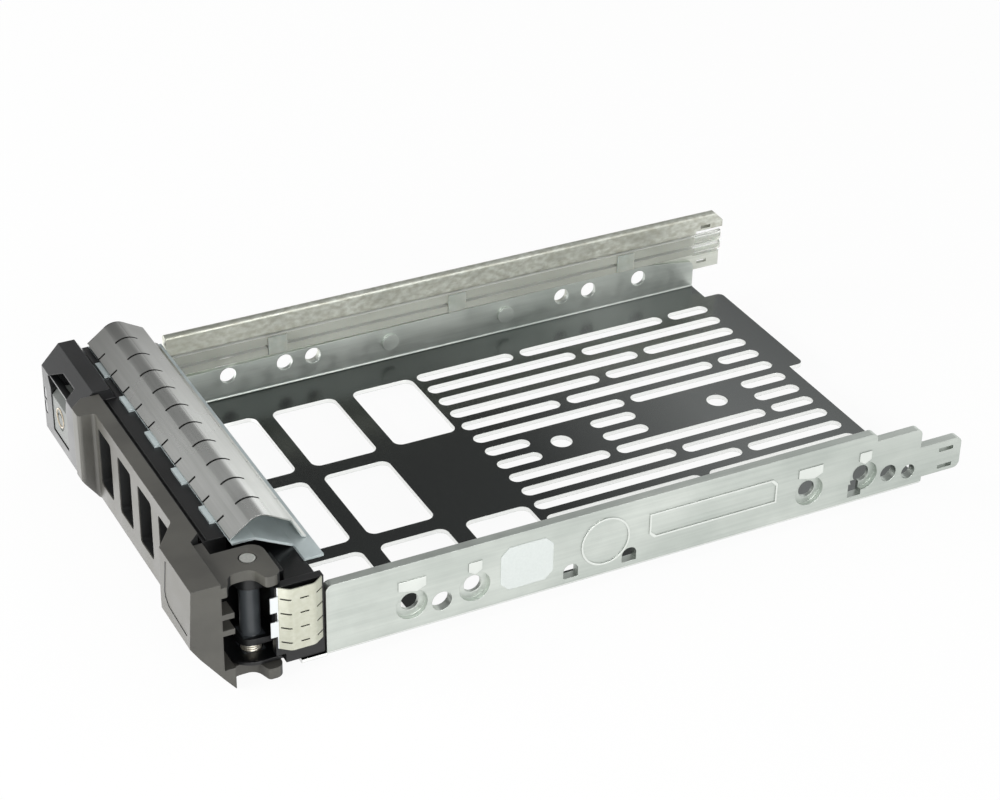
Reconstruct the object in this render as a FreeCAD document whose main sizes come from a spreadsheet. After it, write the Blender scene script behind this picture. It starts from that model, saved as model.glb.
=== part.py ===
import FreeCAD, Part
import math
import os
import Sketcher
from FreeCAD import Placement, Rotation, Vector

# Hot swap caddy for a 3.5 inch drive: a folded steel tray with a moulded front bezel, a swinging
# lever handle on an upright pin, a release button and spring strips that earth it in the chassis.
# Sizes are millimetres. Pieces are drawn from the front drive screw (y), the floor's top (z) and
# midway between the tray's sides (x), then placed so that the caddy stands on its frame's origin.

doc = FreeCAD.newDocument("DriveCaddy")
sheet = doc.addObject("Spreadsheet::Sheet", "Sizes")


class Size:
    """A length with its value and the sheet expression that drives it."""

    def __init__(self, value, text):
        self.value = float(value)
        self.text = text

    def __add__(self, other):
        other = as_size(other)
        return Size(self.value + other.value, "(%s + %s)" % (self.text, other.text))

    def __radd__(self, other):
        return as_size(other) + self

    def __sub__(self, other):
        other = as_size(other)
        return Size(self.value - other.value, "(%s - %s)" % (self.text, other.text))

    def __rsub__(self, other):
        return as_size(other) - self

    def __mul__(self, other):
        other = as_size(other)
        return Size(self.value * other.value, "(%s * %s)" % (self.text, other.text))

    def __rmul__(self, other):
        return as_size(other) * self

    def __truediv__(self, other):
        other = as_size(other)
        return Size(self.value / other.value, "(%s / %s)" % (self.text, other.text))

    def __neg__(self):
        return Size(-self.value, "(0 - %s)" % self.text)


def as_size(number):
    if isinstance(number, Size):
        return number
    return Size(number, "(%r)" % float(number))


SIZES = {
    # Tray
    "half_width": 54.0,  # middle to the outer face of a side
    "sheet_t": 1.1,  # tray and rail sheet
    "tray_front": -20.0,  # front edge of floor and walls
    "floor_rear": 134.5,  # rear edge of the floor
    "floor_rear_far": 133.7,  # rear edge beside the far wall
    "tab_rear": 138.8,  # rear edge of the floor's tab
    "tab_far_x": -45.0,  # far side of the tab
    "tab_near_x": -4.6,  # near side of the tab
    "bend_r": 1.6,  # outside radius of the bends
    "corner_r": 1.6,  # rounded corners of cut edges
    "wall_top": 17.3,  # near wall, front stretch
    "wall_step_y": 119.8,  # first step down of the near wall
    "wall_step_z": 15.0,  # near wall, middle stretch
    "wall_drop_y": 132.6,  # second step down
    "wall_drop_z": 9.7,  # near wall, rear tongue
    "wall_rear": 144.5,  # rear end of the tongue
    "tongue_lift": 1.3,  # tongue's lower edge
    "far_wall_front_z": 8.6,  # far wall's height at the front
    "far_wall_rear_z": 9.7,  # far wall's height near its rear
    "far_wall_slope_y": 118.0,  # where the far wall slopes down
    "far_wall_end_z": 7.4,  # far wall's height at its end
    # Drive screw holes and other round holes of the walls
    "screw_z": 6.35,  # drive screws above the floor
    "screw_pitch": 101.6,  # front to rear drive screws
    "second_set": 15.15,  # second set of holes behind the first
    "screw_hole": 4.3,  # clearance hole for a drive screw
    "screw_sink": 7.5,  # counterbore for the screw's head
    "screw_sink_depth": 1.25,  # depth of the counterbore
    "guide_hole_y": 7.2,  # plain hole between the front holes
    "guide_hole_z": 5.0,  # its height
    "guide_hole": 4.8,  # its bore
    "rear_hole_y": 123.8,  # third hole from the rear
    "rear_hole_z": 5.1,  # its height
    "rear_hole": 4.4,  # its bore
    "last_hole_y": 129.6,  # last hole
    "last_hole_z": 3.9,  # its height
    "last_hole": 3.8,  # its bore
    "notch_front_y": 39.0,  # first opening over the floor
    "notch_pitch": 14.9,  # to the second opening
    "notch_rear_y": 114.5,  # opening under the rear screw hole
    "notch_width": 3.7,  # opening's length along the wall
    "notch_top": 4.9,  # opening's top
    "notch_foot": 1.3,  # opening's lower edge
    "catch_slot_y": 140.2,  # middle of the slots in the tongue
    "catch_slot": 4.1,  # their length
    "catch_slot_w": 1.0,  # their height
    "emboss_h": 0.2,  # height of the raised outlines on the near wall
    "emboss_w": 0.5,  # width of the raised outlines
    "ring_y": 47.6,  # raised ring
    "ring_z": 8.6,  # raised ring
    "ring_d": 12.4,  # raised ring
    "frame_front": 58.8,  # raised frame
    "frame_rear": 92.6,  # raised frame
    "frame_foot": 5.9,  # raised frame
    "frame_top": 12.5,  # raised frame
    "frame_cut": 1.3,  # its sloped corners
    "badge_half": 3.3,  # half the length of a raised badge over a screw hole
    "badge_foot": 10.7,  # foot of the badges
    "badge_top": 13.0,  # top of the badges
    "badge_point_z": 9.7,  # point of a badge towards its hole
    "foot_tab_front": -25.8,  # front of the foot tab under the cheek
    "foot_tab_in": 3.0,  # far side of the foot tab, in from the near face
    "catch_slot_low": 2.7,  # height of the lower one
    "catch_slot_high": 7.4,  # height of the upper one
    "far_hole_plain": 22.8,  # plain hole of the far wall, front
    "far_hole_rear": 93.6,  # plain hole of the far wall, rear
    # Floor openings
    "window_x": -40.8,  # far side of the first window
    "window_w": 27.2,  # width of a window
    "window_pitch": 31.6,  # to the next window
    "window_r": 2.2,  # window corners
    "window_a_front": -15.5,  # front row of windows
    "window_a_rear": 2.1,  # its rear edge
    "window_b_front": 6.4,  # middle row of windows
    "window_b_rear": 23.3,  # its rear edge
    "window_c_front": 28.0,  # rear row of windows
    "window_c_rear": 44.5,  # its rear edge
    "slot_x": -39.6,  # middle of the first row of slots
    "slot_pitch": 6.35,  # to the next row
    "slot_w": 3.8,  # width of a slot
    "slot_front": 46.0,  # front end of the slots
    "slot_rear": 131.0,  # rear end of the slots
    "web_w": 2.3,  # web between two slots
    "web_y": 74.1,  # first web station
    "web_pitch": 14.7,  # to the next web station
    "hub_front": 57.8,  # rear end of the short front slots
    "hub_mid_front": 75.0,  # middle slots beside the hub holes
    "hub_mid_rear": 87.2,  # their rear end
    "hub_rear": 118.4,  # front end of the short rear slots
    "hub_hole": 5.3,  # hub hole
    "hub_hole_y": 65.0,  # front hub hole
    "hub_hole_pitch": 44.1,  # to the rear hub hole
    # Side rail and light pipes
    "rail_top": 21.0,  # top of the side rail
    "rail_hem_z": 15.5,  # lower edge of the rail's hem
    "rail_rear": 142.1,  # rear ends of the rail's fingers
    "finger_top_z": 16.4,  # lower edge of the top finger
    "finger_gap_y": 134.0,  # front of the cuts between the fingers
    "finger_mid_top": 13.6,  # top of the middle finger
    "finger_mid_foot": 10.0,  # foot of the middle finger
    "finger_low_top": 8.5,  # top of the low finger
    "finger_low_foot": 4.3,  # foot of the low finger
    "finger_chamfer": 2.7,  # sloped corner of the top finger
    "finger_slot_w": 0.9,  # catch slots in the fingers
    "pipe_t": 1.7,  # light pipe, across
    "pipe_gap": 0.1,  # light pipe to the sheet
    "pipe_low_z": 9.95,  # lower light pipe's foot
    "pipe_low_h": 1.9,  # lower light pipe's height
    "pipe_high_z": 12.8,  # upper light pipe's foot
    "pipe_high_h": 2.4,  # upper light pipe's height
    "pipe_rear": 141.8,  # rear end of the light pipes
    "pipe_in_bezel": 9.0,  # length of pipe in the bezel
    "clip_length": 5.0,  # light pipe clip
    "rail_front": -15.7,  # front end of the side rail
    "clip_first": 10.5,  # first clip
    "clip_pitch": 49.5,  # to the next clip
    # Bezel
    "bezel_front": -46.1,  # front of the bezel's end block
    "block_near_in": 24.8,  # near side of the end block, in from the far face
    "block_foot_z": 2.9,  # foot of the block's front face
    "block_face_z": 20.0,  # top of the block's front face
    "block_crest_y": -41.6,  # front of the block's top
    "block_crest_z": 24.9,  # block's top
    "block_back_y": -37.6,  # rear of the block's top
    "shelf_front": -39.7,  # front of the shelf behind the handle
    "shelf_z": 22.1,  # top of the shelf
    "shelf_rear": -34.2,  # rear of the shelf
    "shelf_step_y": -35.9,  # foot of the slope down to the shelf
    "beam_z": 17.8,  # top of the beam under the shield plate
    "beam_near_in": 20.0,  # near end of the shelf, in from the near face
    "beam_foot_z": -1.1,  # underside of the bezel
    "beam_wall": 2.0,  # walls of the moulding
    "bezel_gap": 0.3,  # bezel to tray
    "chin_y": -43.2,  # front of the block's underside
    "cheek_front": -29.2,  # front of the cheek behind the pin
    "cheek_in": 0.4,  # near face of the cheek, in from the near face
    "cheek_foot_z": 0.2,  # underside of the cheek
    "cheek_wall_front": -31.4,  # front edge of the cheek's side wall
    "cheek_wall_foot": 2.6,  # foot of the side wall
    "lug_rear": -13.5,  # rear end of the lugs in the tray
    "lug_top": 5.2,  # top of the lugs
    "lug_w": 6.0,  # width of the lugs
    "button_in": 11.6,  # middle of the release button, in from the far face
    "button_w": 10.4,  # width of the release button
    "button_foot": 5.8,  # foot of the release button
    "button_top": 16.9,  # top of the release button
    "button_depth": 5.5,  # release button, front to back
    "button_travel": 2.0,  # release button's travel
    "button_gap": 0.3,  # around the release button
    "button_proud": 0.2,  # button behind the block's face
    "button_ring": 4.6,  # ring groove on the button
    "ledge_z": 19.5,  # ledge across the thumb recess
    "ledge_t": 0.5,  # thickness of the ledge
    "recess_near_in": 17.8,  # near side of the thumb recess, in from the far face
    "recess_far_in": 4.4,  # far side of the thumb recess, in from the far face
    "recess_top": 22.4,  # thumb recess above the button
    "lens_in": 1.2,  # middle of the status windows, in from the far face
    "lens_w": 1.7,  # width of a status window
    "lens_h": 3.0,  # height of a status window
    "lens_low_z": 7.5,  # foot of the lower window
    "lens_high_z": 11.4,  # foot of the upper window
    "lens_depth": 2.2,  # depth of a window
    # Handle
    "pin_in": 9.0,  # hinge pin, in from the near face
    "pin_y": -33.8,  # hinge pin
    "pin_d": 2.5,  # pin's shank
    "pin_head": 3.4,  # pin's head
    "pin_head_h": 0.6,  # height of the pin's head
    "pin_play": 0.05,  # running clearance round the pin
    "handle_top": 24.3,  # handle's top
    "ear_top": 23.3,  # top of the upper ear
    "handle_back": -40.4,  # handle's rear plane
    "handle_near_in": 1.0,  # near end of the handle, in from the near face
    "grip_front": -49.5,  # front of the grip block
    "grip_lean": 0.8,  # grip's front face leans out
    "grip_break_z": 10.1,  # foot of the grip's front face
    "grip_knee_y": -48.2,  # knee of the lower slope
    "grip_knee_z": 6.8,  # knee of the lower slope
    "grip_toe_y": -42.9,  # rear of the lower slope
    "grip_toe_z": -0.3,  # toe of the lower slope
    "grip_far_in": 18.0,  # far end of the grip block's face, in from the near face
    "web_front": -44.0,  # front of the vented web
    "web_start_in": 26.8,  # where the vented web starts, in from the near face
    "web_foot_z": 1.6,  # underside of the vented web
    "end_near_in": 32.6,  # near side of the end grip, in from the far face
    "end_far_in": 25.2,  # far end of the handle, in from the far face
    "end_front": -48.0,  # front of the end grip
    "end_cut": 3.2,  # sloped corner of the end grip
    "vent_x": -19.8,  # far side of the first vent
    "vent_w": 8.4,  # width of a vent
    "vent_pitch": 12.95,  # to the next vent
    "vent_foot": 6.2,  # foot of the vents
    "vent_top": 21.2,  # top of the vents
    "vent_r": 0.9,  # vent corners
    "ear_t": 2.6,  # thickness of the upper ear
    "ear_low_t": 2.7,  # thickness of the lower ear
    "ear_foot": -3.3,  # underside of the lower ear
    "ear_rear": -29.4,  # rear of the ears
    "ear_far_in": 13.4,  # far side of the ears, in from the near face
    "ear_scoop": 3.9,  # scoop in the ears' near edge
    "ear_scoop_front": -41.4,  # front of the scoop
    "ear_scoop_rear": -33.0,  # rear of the scoop
    "rib_rear": -40.2,  # rear ends of the finger ribs
    "rib_low_z": 11.0,  # lower finger rib
    "rib_pitch": 4.1,  # to the upper rib
    "rib_t": 1.35,  # thickness of a rib
    "rib_length": 4.5,  # length of a rib
    "knuckle_d": 4.6,  # bezel's knuckle round the pin
    "arm_low_z": 2.9,  # underside of the lower arm
    "arm_t": 1.6,  # thickness of the lower arm
    "arm_high_t": 3.0,  # thickness of the upper arm
    "arm_r": 3.6,  # rounded ends of the arms
    "pan_r": 6.2,  # pan under the hinge pocket, round the pin
    "pan_t": 0.8,  # thickness of the pan
    "ear_gap": 0.3,  # ears to the arms
    "spring_wire": 0.5,  # torsion spring's wire
    "spring_d": 4.1,  # torsion spring's mean diameter
    "spring_turns": 4,  # torsion spring's turns
    "clip_t": 0.5,  # pin's retaining ring
    "clip_d": 5.2,  # retaining ring's diameter
    # Shield plate, spring strips, label, rivets
    "shield_t": 0.6,  # shield plate
    "shield_near_in": 16.0,  # near end of the shield plate, in from the near face
    "shield_tail_in": 9.9,  # near end of its rear tail, in from the near face
    "shield_tail_y": -20.7,  # foot of its rear slope
    "shield_rear": -16.1,  # rear edge of the shield plate
    "shield_front": -34.4,  # front edge of the shield plate
    "shield_bend_y": -29.3,  # head of its rear slope
    "shield_tabs_y": -35.8,  # front of the tabs under the strip
    "strip_t": 0.35,  # top spring strip, upright
    "strip_front": -34.5,  # front edge of the strip
    "strip_front_z": 23.05,  # height of the front edge
    "strip_crown_y": -27.9,  # crown
    "strip_crown_z": 28.1,  # crown before rounding
    "strip_crown_r": 4.2,  # crown radius
    "strip_slope_y": -20.4,  # rear slope's foot
    "strip_slope_z": 24.0,  # rear slope's foot
    "strip_rear": -18.0,  # rear edge, before the lip
    "strip_rear_z": 19.25,  # rear edge, before the lip
    "strip_lip": 1.0,  # lip along the rear edge
    "strip_far_in": 0.1,  # far end of the strip, in from the far face
    "strip_near_in": 17.0,  # near end of the strip, in from the near face
    "slit_x": -45.8,  # first slit
    "slit_pitch": 8.36,  # to the next slit
    "slit_w": 0.35,  # width of a slit
    "slit_front": -30.2,  # front end of the crown slits
    "slit_rear": -24.7,  # rear end of the crown slits
    "tab_inset": 0.9,  # tabs in from the slits
    "side_t": 0.3,  # side spring strip
    "side_front": -31.0,  # front edge of the side strip
    "side_rear": -20.8,  # rear edge of the side strip
    "side_foot": 4.5,  # foot of the side strip
    "side_top": 20.2,  # top of the side strip
    "side_bulge": 2.0,  # how far the side strip stands out
    "side_row_z": 6.2,  # lowest row of slits in the side strip
    "side_row_pitch": 3.7,  # to the next row of slits
    "side_column_y": -30.4,  # front column of slits
    "side_column_pitch": 3.9,  # to the next column of slits
    "side_slit": 2.0,  # length of a slit in the side strip
    "side_tab_y": -32.6,  # front of the side strip's tabs
    "side_tab_z": 7.8,  # foot of the lower tab
    "side_tab_h": 3.9,  # height of a tab
    "side_tab_pitch": 6.3,  # to the upper tab
    "label_front": 21.4,  # label
    "label_rear": 34.4,  # label
    "label_foot": 3.0,  # label
    "label_top": 14.1,  # label
    "label_t": 0.1,  # label's thickness
    "label_r": 2.0,  # label's sloped corners
    "rivet_d": 3.0,  # rivets
    "rivet_head": 4.6,  # rivet heads
    "rivet_head_h": 0.7,  # height of the heads
    "rail_rivet_y": 44.0,  # first rail rivet
    "rail_rivet_pitch": 33.0,  # to the next rail rivet
    "rail_rivet_z": 5.0,  # height of the rail rivets
    # Where the frame's origin lies, from the point that the pieces are drawn from
    "frame_side": 0.8,  # origin to the near side of the middle
    "frame_back": 47.1,  # origin behind the front screw hole
}


class Sizes:
    """The named sizes: each has a row of its own in the sheet, under its alias."""

    def __init__(self, numbers):
        for row, (alias, number) in enumerate(numbers.items(), start=1):
            sheet.set("A%d" % row, alias.replace("_", " "))
            sheet.set("B%d" % row, str(number))
            sheet.setAlias("B%d" % row, alias)
            setattr(self, alias, Size(number, "Sizes." + alias))


s = Sizes(SIZES)
doc.recompute()

ZERO = as_size(0)
floor_foot = -s.sheet_t
far_face = -s.half_width
near_face = s.half_width
inner_near = s.half_width - 2 * s.sheet_t
inner_far = -(s.half_width - 2 * s.sheet_t)
rail_inner = -(s.half_width - s.sheet_t)
lug_middles = (
    inner_far + s.bezel_gap + s.lug_w / 2,
    inner_near - s.bezel_gap - s.lug_w / 2,
)
lug_rivet_y = (s.tray_front + s.lug_rear) / 2
frame_shift = (-s.frame_side, -s.frame_back, -s.ear_foot)

# Places that keep their distance from the near face or the far face
s.cheek_x = near_face - s.cheek_in
s.beam_near_x = near_face - s.beam_near_in
s.pin_x = near_face - s.pin_in
s.handle_near_x = near_face - s.handle_near_in
s.grip_far_x = near_face - s.grip_far_in
s.ear_far_x = near_face - s.ear_far_in
s.shield_near_x = near_face - s.shield_near_in
s.shield_tail_x = near_face - s.shield_tail_in
s.strip_near_x = near_face - s.strip_near_in
s.foot_tab_x = near_face - s.foot_tab_in
s.web_start_x = near_face - s.web_start_in
s.block_near_x = far_face + s.block_near_in
s.button_x = far_face + s.button_in
s.recess_near_x = far_face + s.recess_near_in
s.recess_far_x = far_face + s.recess_far_in
s.lens_x = far_face + s.lens_in
s.end_near_x = far_face + s.end_near_in
s.end_far_x = far_face + s.end_far_in
s.strip_far_x = far_face + s.strip_far_in


def drive(thing, prop, size):
    """Bind a property to the sheet."""
    thing.setExpression(prop, size.text)


def place(thing):
    """Set a piece in the caddy's frame."""
    for axis, size in zip("xyz", frame_shift):
        drive(thing, "Placement.Base." + axis, size)


def new_body(name):
    body = doc.addObject("PartDesign::Body", name)
    body.Label = name
    place(body)
    return body


class Drawing:
    """A sketch on one of a body's own planes, at a distance along that plane's normal."""

    def __init__(self, body, name, plane, at):
        self.sketch = body.newObject("Sketcher::SketchObject", name)
        plane_feature = [f for f in body.Origin.OriginFeatures if f.Role == plane + "_Plane"][0]
        self.sketch.AttachmentSupport = [(plane_feature, "")]
        self.sketch.MapMode = "FlatFace"
        drive(self.sketch, "AttachmentOffset.Base.z", -at if plane == "XZ" else at)
        self.names = 0
        self.shapes = []
        self.rules = []
        self.sizes = []

    def add(self, shape, construction=False):
        self.shapes.append((shape, construction))
        return len(self.shapes) - 1

    def rule(self, *parts):
        self.rules.append(Sketcher.Constraint(*parts))

    def sized(self, kind, parts, size):
        self.names += 1
        self.sizes.append(("size%d" % self.names, len(self.rules), size))
        self.rules.append(Sketcher.Constraint(kind, *parts, size.value))

    def pin_point(self, geo, end, u, v):
        self.sized("DistanceX", (-1, 1, geo, end), u)
        self.sized("DistanceY", (-1, 1, geo, end), v)

    def outline(self, corners):
        """A closed outline; a corner with a third value is rounded by that radius."""
        points = []
        for corner in corners:
            points.append((Vector(corner[0].value, corner[1].value, 0), corner))
        count = len(points)
        trims = []
        for i in range(count):
            here, corner = points[i]
            if len(corner) < 3:
                trims.append((here, here, None))
                continue
            before = (points[i - 1][0] - here).normalize()
            after = (points[(i + 1) % count][0] - here).normalize()
            half = before.getAngle(after) / 2
            reach = corner[2].value / math.tan(half)
            start = here + before * reach
            end = here + after * reach
            middle = (before + after).normalize() * (corner[2].value / math.sin(half))
            trims.append((start, end, here + middle))
        lines = []
        for i in range(count):
            start = trims[i][1]
            end = trims[(i + 1) % count][0]
            lines.append(self.add(Part.LineSegment(start, end)))
        for i in range(count):
            here, corner = points[i]
            start, end, centre = trims[i]
            before = lines[i - 1]
            after = lines[i]
            if centre is None:
                self.rule("Coincident", before, 2, after, 1)
                self.pin_point(after, 1, corner[0], corner[1])
                continue
            turn = (start - centre).cross(end - centre).z
            first, last = (start, end) if turn > 0 else (end, start)
            circle = Part.Circle(centre, Vector(0, 0, 1), corner[2].value)
            arc = self.add(Part.ArcOfCircle(circle, circle.parameter(first), circle.parameter(last)))
            apex = self.add(Part.Point(here), True)
            self.pin_point(apex, 1, corner[0], corner[1])
            self.rule("PointOnObject", apex, 1, before)
            self.rule("PointOnObject", apex, 1, after)
            self.rule("Tangent", before, 2, arc, 1 if turn > 0 else 2)
            self.rule("Tangent", after, 1, arc, 2 if turn > 0 else 1)
            self.sized("Radius", (arc,), corner[2])
        return self

    def circle(self, u, v, diameter):
        round_one = Part.Circle(Vector(u.value, v.value, 0), Vector(0, 0, 1), diameter.value / 2)
        geo = self.add(round_one)
        self.pin_point(geo, 3, u, v)
        self.sized("Diameter", (geo,), diameter)
        return self

    def box(self, u0, v0, u1, v1, radius=None):
        corners = [(u0, v0), (u1, v0), (u1, v1), (u0, v1)]
        if radius is not None:
            corners = [corner + (radius,) for corner in corners]
        return self.outline(corners)

    def slot(self, u, v0, v1, width):
        """A slot along the drawing's upright axis, with full-round ends."""
        half = width / 2
        low = Vector(u.value, v0.value + half.value, 0)
        high = Vector(u.value, v1.value - half.value, 0)
        side = Vector(half.value, 0, 0)
        low_circle = Part.Circle(low, Vector(0, 0, 1), half.value)
        high_circle = Part.Circle(high, Vector(0, 0, 1), half.value)
        near = self.add(Part.LineSegment(low + side, high + side))
        top = self.add(Part.ArcOfCircle(high_circle, 0, math.pi))
        far = self.add(Part.LineSegment(high - side, low - side))
        foot = self.add(Part.ArcOfCircle(low_circle, math.pi, 2 * math.pi))
        self.rule("Tangent", near, 2, top, 1)
        self.rule("Tangent", top, 2, far, 1)
        self.rule("Tangent", far, 2, foot, 1)
        self.rule("Tangent", foot, 2, near, 1)
        self.pin_point(top, 3, u, v1 - half)
        self.sized("DistanceY", (-1, 1, foot, 3), v0 + half)
        self.rule("Vertical", near)
        self.sized("Radius", (top,), half)
        return self

    def finish(self):
        for shape, construction in self.shapes:
            self.sketch.addGeometry(shape, construction)
        self.sketch.addConstraint(self.rules)
        for name, index, size in self.sizes:
            self.sketch.renameConstraint(index, name)
            self.sketch.setExpression("Constraints." + name, size.text)
        return self.sketch


def pad(body, name, drawing, length, back=False):
    feature = body.newObject("PartDesign::Pad", name)
    feature.Profile = drawing.finish()
    drive(feature, "Length", length)
    feature.Length = length.value
    feature.Reversed = back
    doc.recompute()
    return feature


def pocket(body, name, drawing, depth, back=False):
    before = body.Shape.Volume
    feature = body.newObject("PartDesign::Pocket", name)
    feature.Profile = drawing.finish()
    drive(feature, "Length", depth)
    feature.Length = depth.value
    feature.Reversed = back
    doc.recompute()
    if not body.Shape.Volume < before:
        raise RuntimeError("%s cuts nothing" % name)
    return feature


def repeat(body, name, feature, axis, count, pitch):
    """Copies of a feature in a row along one of the body's own axes."""
    pattern = body.newObject("PartDesign::LinearPattern", name)
    pattern.Originals = [feature]
    axis_feature = [f for f in body.Origin.OriginFeatures if f.Role == axis + "_Axis"][0]
    pattern.Direction = (axis_feature, [""])
    pattern.Mode = "Spacing"
    drive(pattern, "Offset", pitch)
    pattern.Offset = pitch.value
    pattern.Occurrences = count
    body.Tip = pattern
    doc.recompute()
    return pattern


def tray():
    """Floor, near wall and far wall, folded from one sheet; the near wall is the sheet doubled."""
    body = new_body("tray")
    low = s.bend_r + 1.0
    floor = Drawing(body, "FoldSection", "XZ", s.tray_front)
    floor.outline([
        (rail_inner, low),
        (rail_inner, floor_foot, s.bend_r),
        (near_face, floor_foot, s.bend_r),
        (near_face, low),
        (inner_near, low),
        (inner_near, ZERO, s.bend_r / 3),
        (inner_far, ZERO, s.bend_r / 3),
        (inner_far, low),
    ])
    pad(body, "Fold", floor, s.floor_rear_far - s.tray_front, back=True)
    tail = Drawing(body, "TailOutline", "XY", floor_foot)
    tail.outline([
        (s.tab_far_x, s.floor_rear_far - 1.0),
        (s.tab_far_x, s.tab_rear, s.corner_r),
        (s.tab_near_x, s.tab_rear, s.corner_r),
        (s.tab_near_x, s.floor_rear),
        (inner_near, s.floor_rear),
        (inner_near, s.floor_rear_far - 1.0),
    ])
    pad(body, "Tail", tail, s.sheet_t)
    wall = Drawing(body, "NearWallOutline", "YZ", inner_near)
    wall.outline([
        (s.tray_front, low - 0.5),
        (s.tray_front, s.wall_top, s.corner_r),
        (s.wall_step_y, s.wall_top, s.corner_r),
        (s.wall_step_y, s.wall_step_z),
        (s.wall_drop_y, s.wall_step_z, s.corner_r),
        (s.wall_drop_y, s.wall_drop_z),
        (s.wall_rear, s.wall_drop_z, s.corner_r),
        (s.wall_rear, s.tongue_lift, s.corner_r),
        (s.floor_rear_far - 0.5, s.tongue_lift),
        (s.floor_rear_far - 0.5, low - 0.5),
    ])
    pad(body, "NearWall", wall, 2 * s.sheet_t)
    far = Drawing(body, "FarWallOutline", "YZ", rail_inner)
    far.outline([
        (s.tray_front, low - 0.5),
        (s.tray_front, s.far_wall_front_z, s.corner_r),
        (s.far_wall_slope_y, s.far_wall_rear_z),
        (s.floor_rear_far, s.far_wall_end_z, s.corner_r),
        (s.floor_rear_far, low - 0.5),
    ])
    pad(body, "FarWall", far, s.sheet_t)

    window_right = s.window_x + s.window_w
    for row, front, rear in (
        ("Front", s.window_a_front, s.window_a_rear),
        ("Middle", s.window_b_front, s.window_b_rear),
    ):
        opening = Drawing(body, row + "WindowOutline", "XY", ZERO)
        opening.box(s.window_x, front, window_right, rear, s.window_r)
        cut = pocket(body, row + "Window", opening, 2 * s.sheet_t)
        repeat(body, row + "Windows", cut, "X", 3, s.window_pitch)
    opening = Drawing(body, "RearWindowOutline", "XY", ZERO)
    opening.box(s.window_x, s.window_c_front, window_right, s.window_c_rear, s.window_r)
    cut = pocket(body, "RearWindow", opening, 2 * s.sheet_t)
    repeat(body, "RearWindows", cut, "X", 2, 2 * s.window_pitch)

    half_web = s.web_w / 2
    second_web = s.web_y + s.web_pitch
    third_web = s.web_y + 2 * s.web_pitch
    fourth_web = s.web_y + 3 * s.web_pitch
    families = (
        ("DoubleWeb", 0, 4, 4, (s.web_y, fourth_web)),
        ("FrontWeb", 1, 3, 2, (second_web,)),
        ("FrontWebNear", 9, 2, 2, (second_web,)),
        ("RearWeb", 2, 2, 8, (third_web,)),
    )
    for label, first, count, step, webs in families:
        rows = Drawing(body, label + "Slots", "XY", ZERO)
        start = s.slot_front
        for web in webs:
            rows.slot(s.slot_x + first * s.slot_pitch, start, web - half_web, s.slot_w)
            start = web + half_web
        rows.slot(s.slot_x + first * s.slot_pitch, start, s.slot_rear, s.slot_w)
        cut = pocket(body, label + "Row", rows, 2 * s.sheet_t)
        repeat(body, label + "Rows", cut, "X", count, step * s.slot_pitch)
    hub = Drawing(body, "HubSlots", "XY", ZERO)
    hub_x = s.slot_x + 6 * s.slot_pitch
    hub.slot(hub_x, s.slot_front, s.hub_front, s.slot_w)
    hub.slot(hub_x, s.hub_mid_front, s.hub_mid_rear, s.slot_w)
    hub.slot(hub_x, s.hub_rear, s.slot_rear, s.slot_w)
    cut = pocket(body, "HubRow", hub, 2 * s.sheet_t)
    repeat(body, "HubRows", cut, "X", 2, s.slot_pitch)
    holes = Drawing(body, "HubHoleCircles", "XY", ZERO)
    for step in range(2):
        holes.circle(hub_x + s.slot_pitch / 2, s.hub_hole_y + step * s.hub_hole_pitch, s.hub_hole)
    pocket(body, "HubHoles", holes, 2 * s.sheet_t)

    foot_tab = Drawing(body, "FootTabSection", "XZ", s.tray_front)
    foot_tab.outline([
        (s.foot_tab_x, floor_foot),
        (near_face, floor_foot, s.sheet_t / 2),
        (near_face, ZERO),
        (s.foot_tab_x, ZERO),
    ])
    pad(body, "FootTab", foot_tab, s.tray_front - s.foot_tab_front)

    raised = Drawing(body, "RaisedOutlines", "YZ", near_face)
    raised.circle(s.ring_y, s.ring_z, s.ring_d)
    raised.circle(s.ring_y, s.ring_z, s.ring_d - 2 * s.emboss_w)
    for inset in (ZERO, s.emboss_w):
        front = s.frame_front + inset
        rear = s.frame_rear - inset
        foot = s.frame_foot + inset
        top = s.frame_top - inset
        raised.outline([
            (front, foot + s.frame_cut),
            (front, top),
            (rear - s.frame_cut, top),
            (rear, top - s.frame_cut),
            (rear, foot),
            (front + s.frame_cut, foot),
        ])
    for y in (ZERO, s.screw_pitch):
        raised.outline([
            (y - s.badge_half, s.badge_foot),
            (y - s.badge_half, s.badge_top),
            (y + s.badge_half, s.badge_top),
            (y + s.badge_half, s.badge_foot),
            (y + s.badge_half / 3, s.badge_point_z),
        ])
    for y in (s.second_set, s.second_set + s.screw_pitch):
        raised.outline([
            (y - s.badge_half / 2, s.badge_foot),
            (y - s.badge_half / 2, s.badge_top),
            (y + s.badge_half / 2, s.badge_top),
            (y + s.badge_half / 2, s.badge_foot),
            (y, s.badge_point_z),
        ])
    pad(body, "Embossing", raised, s.emboss_h)

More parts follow.
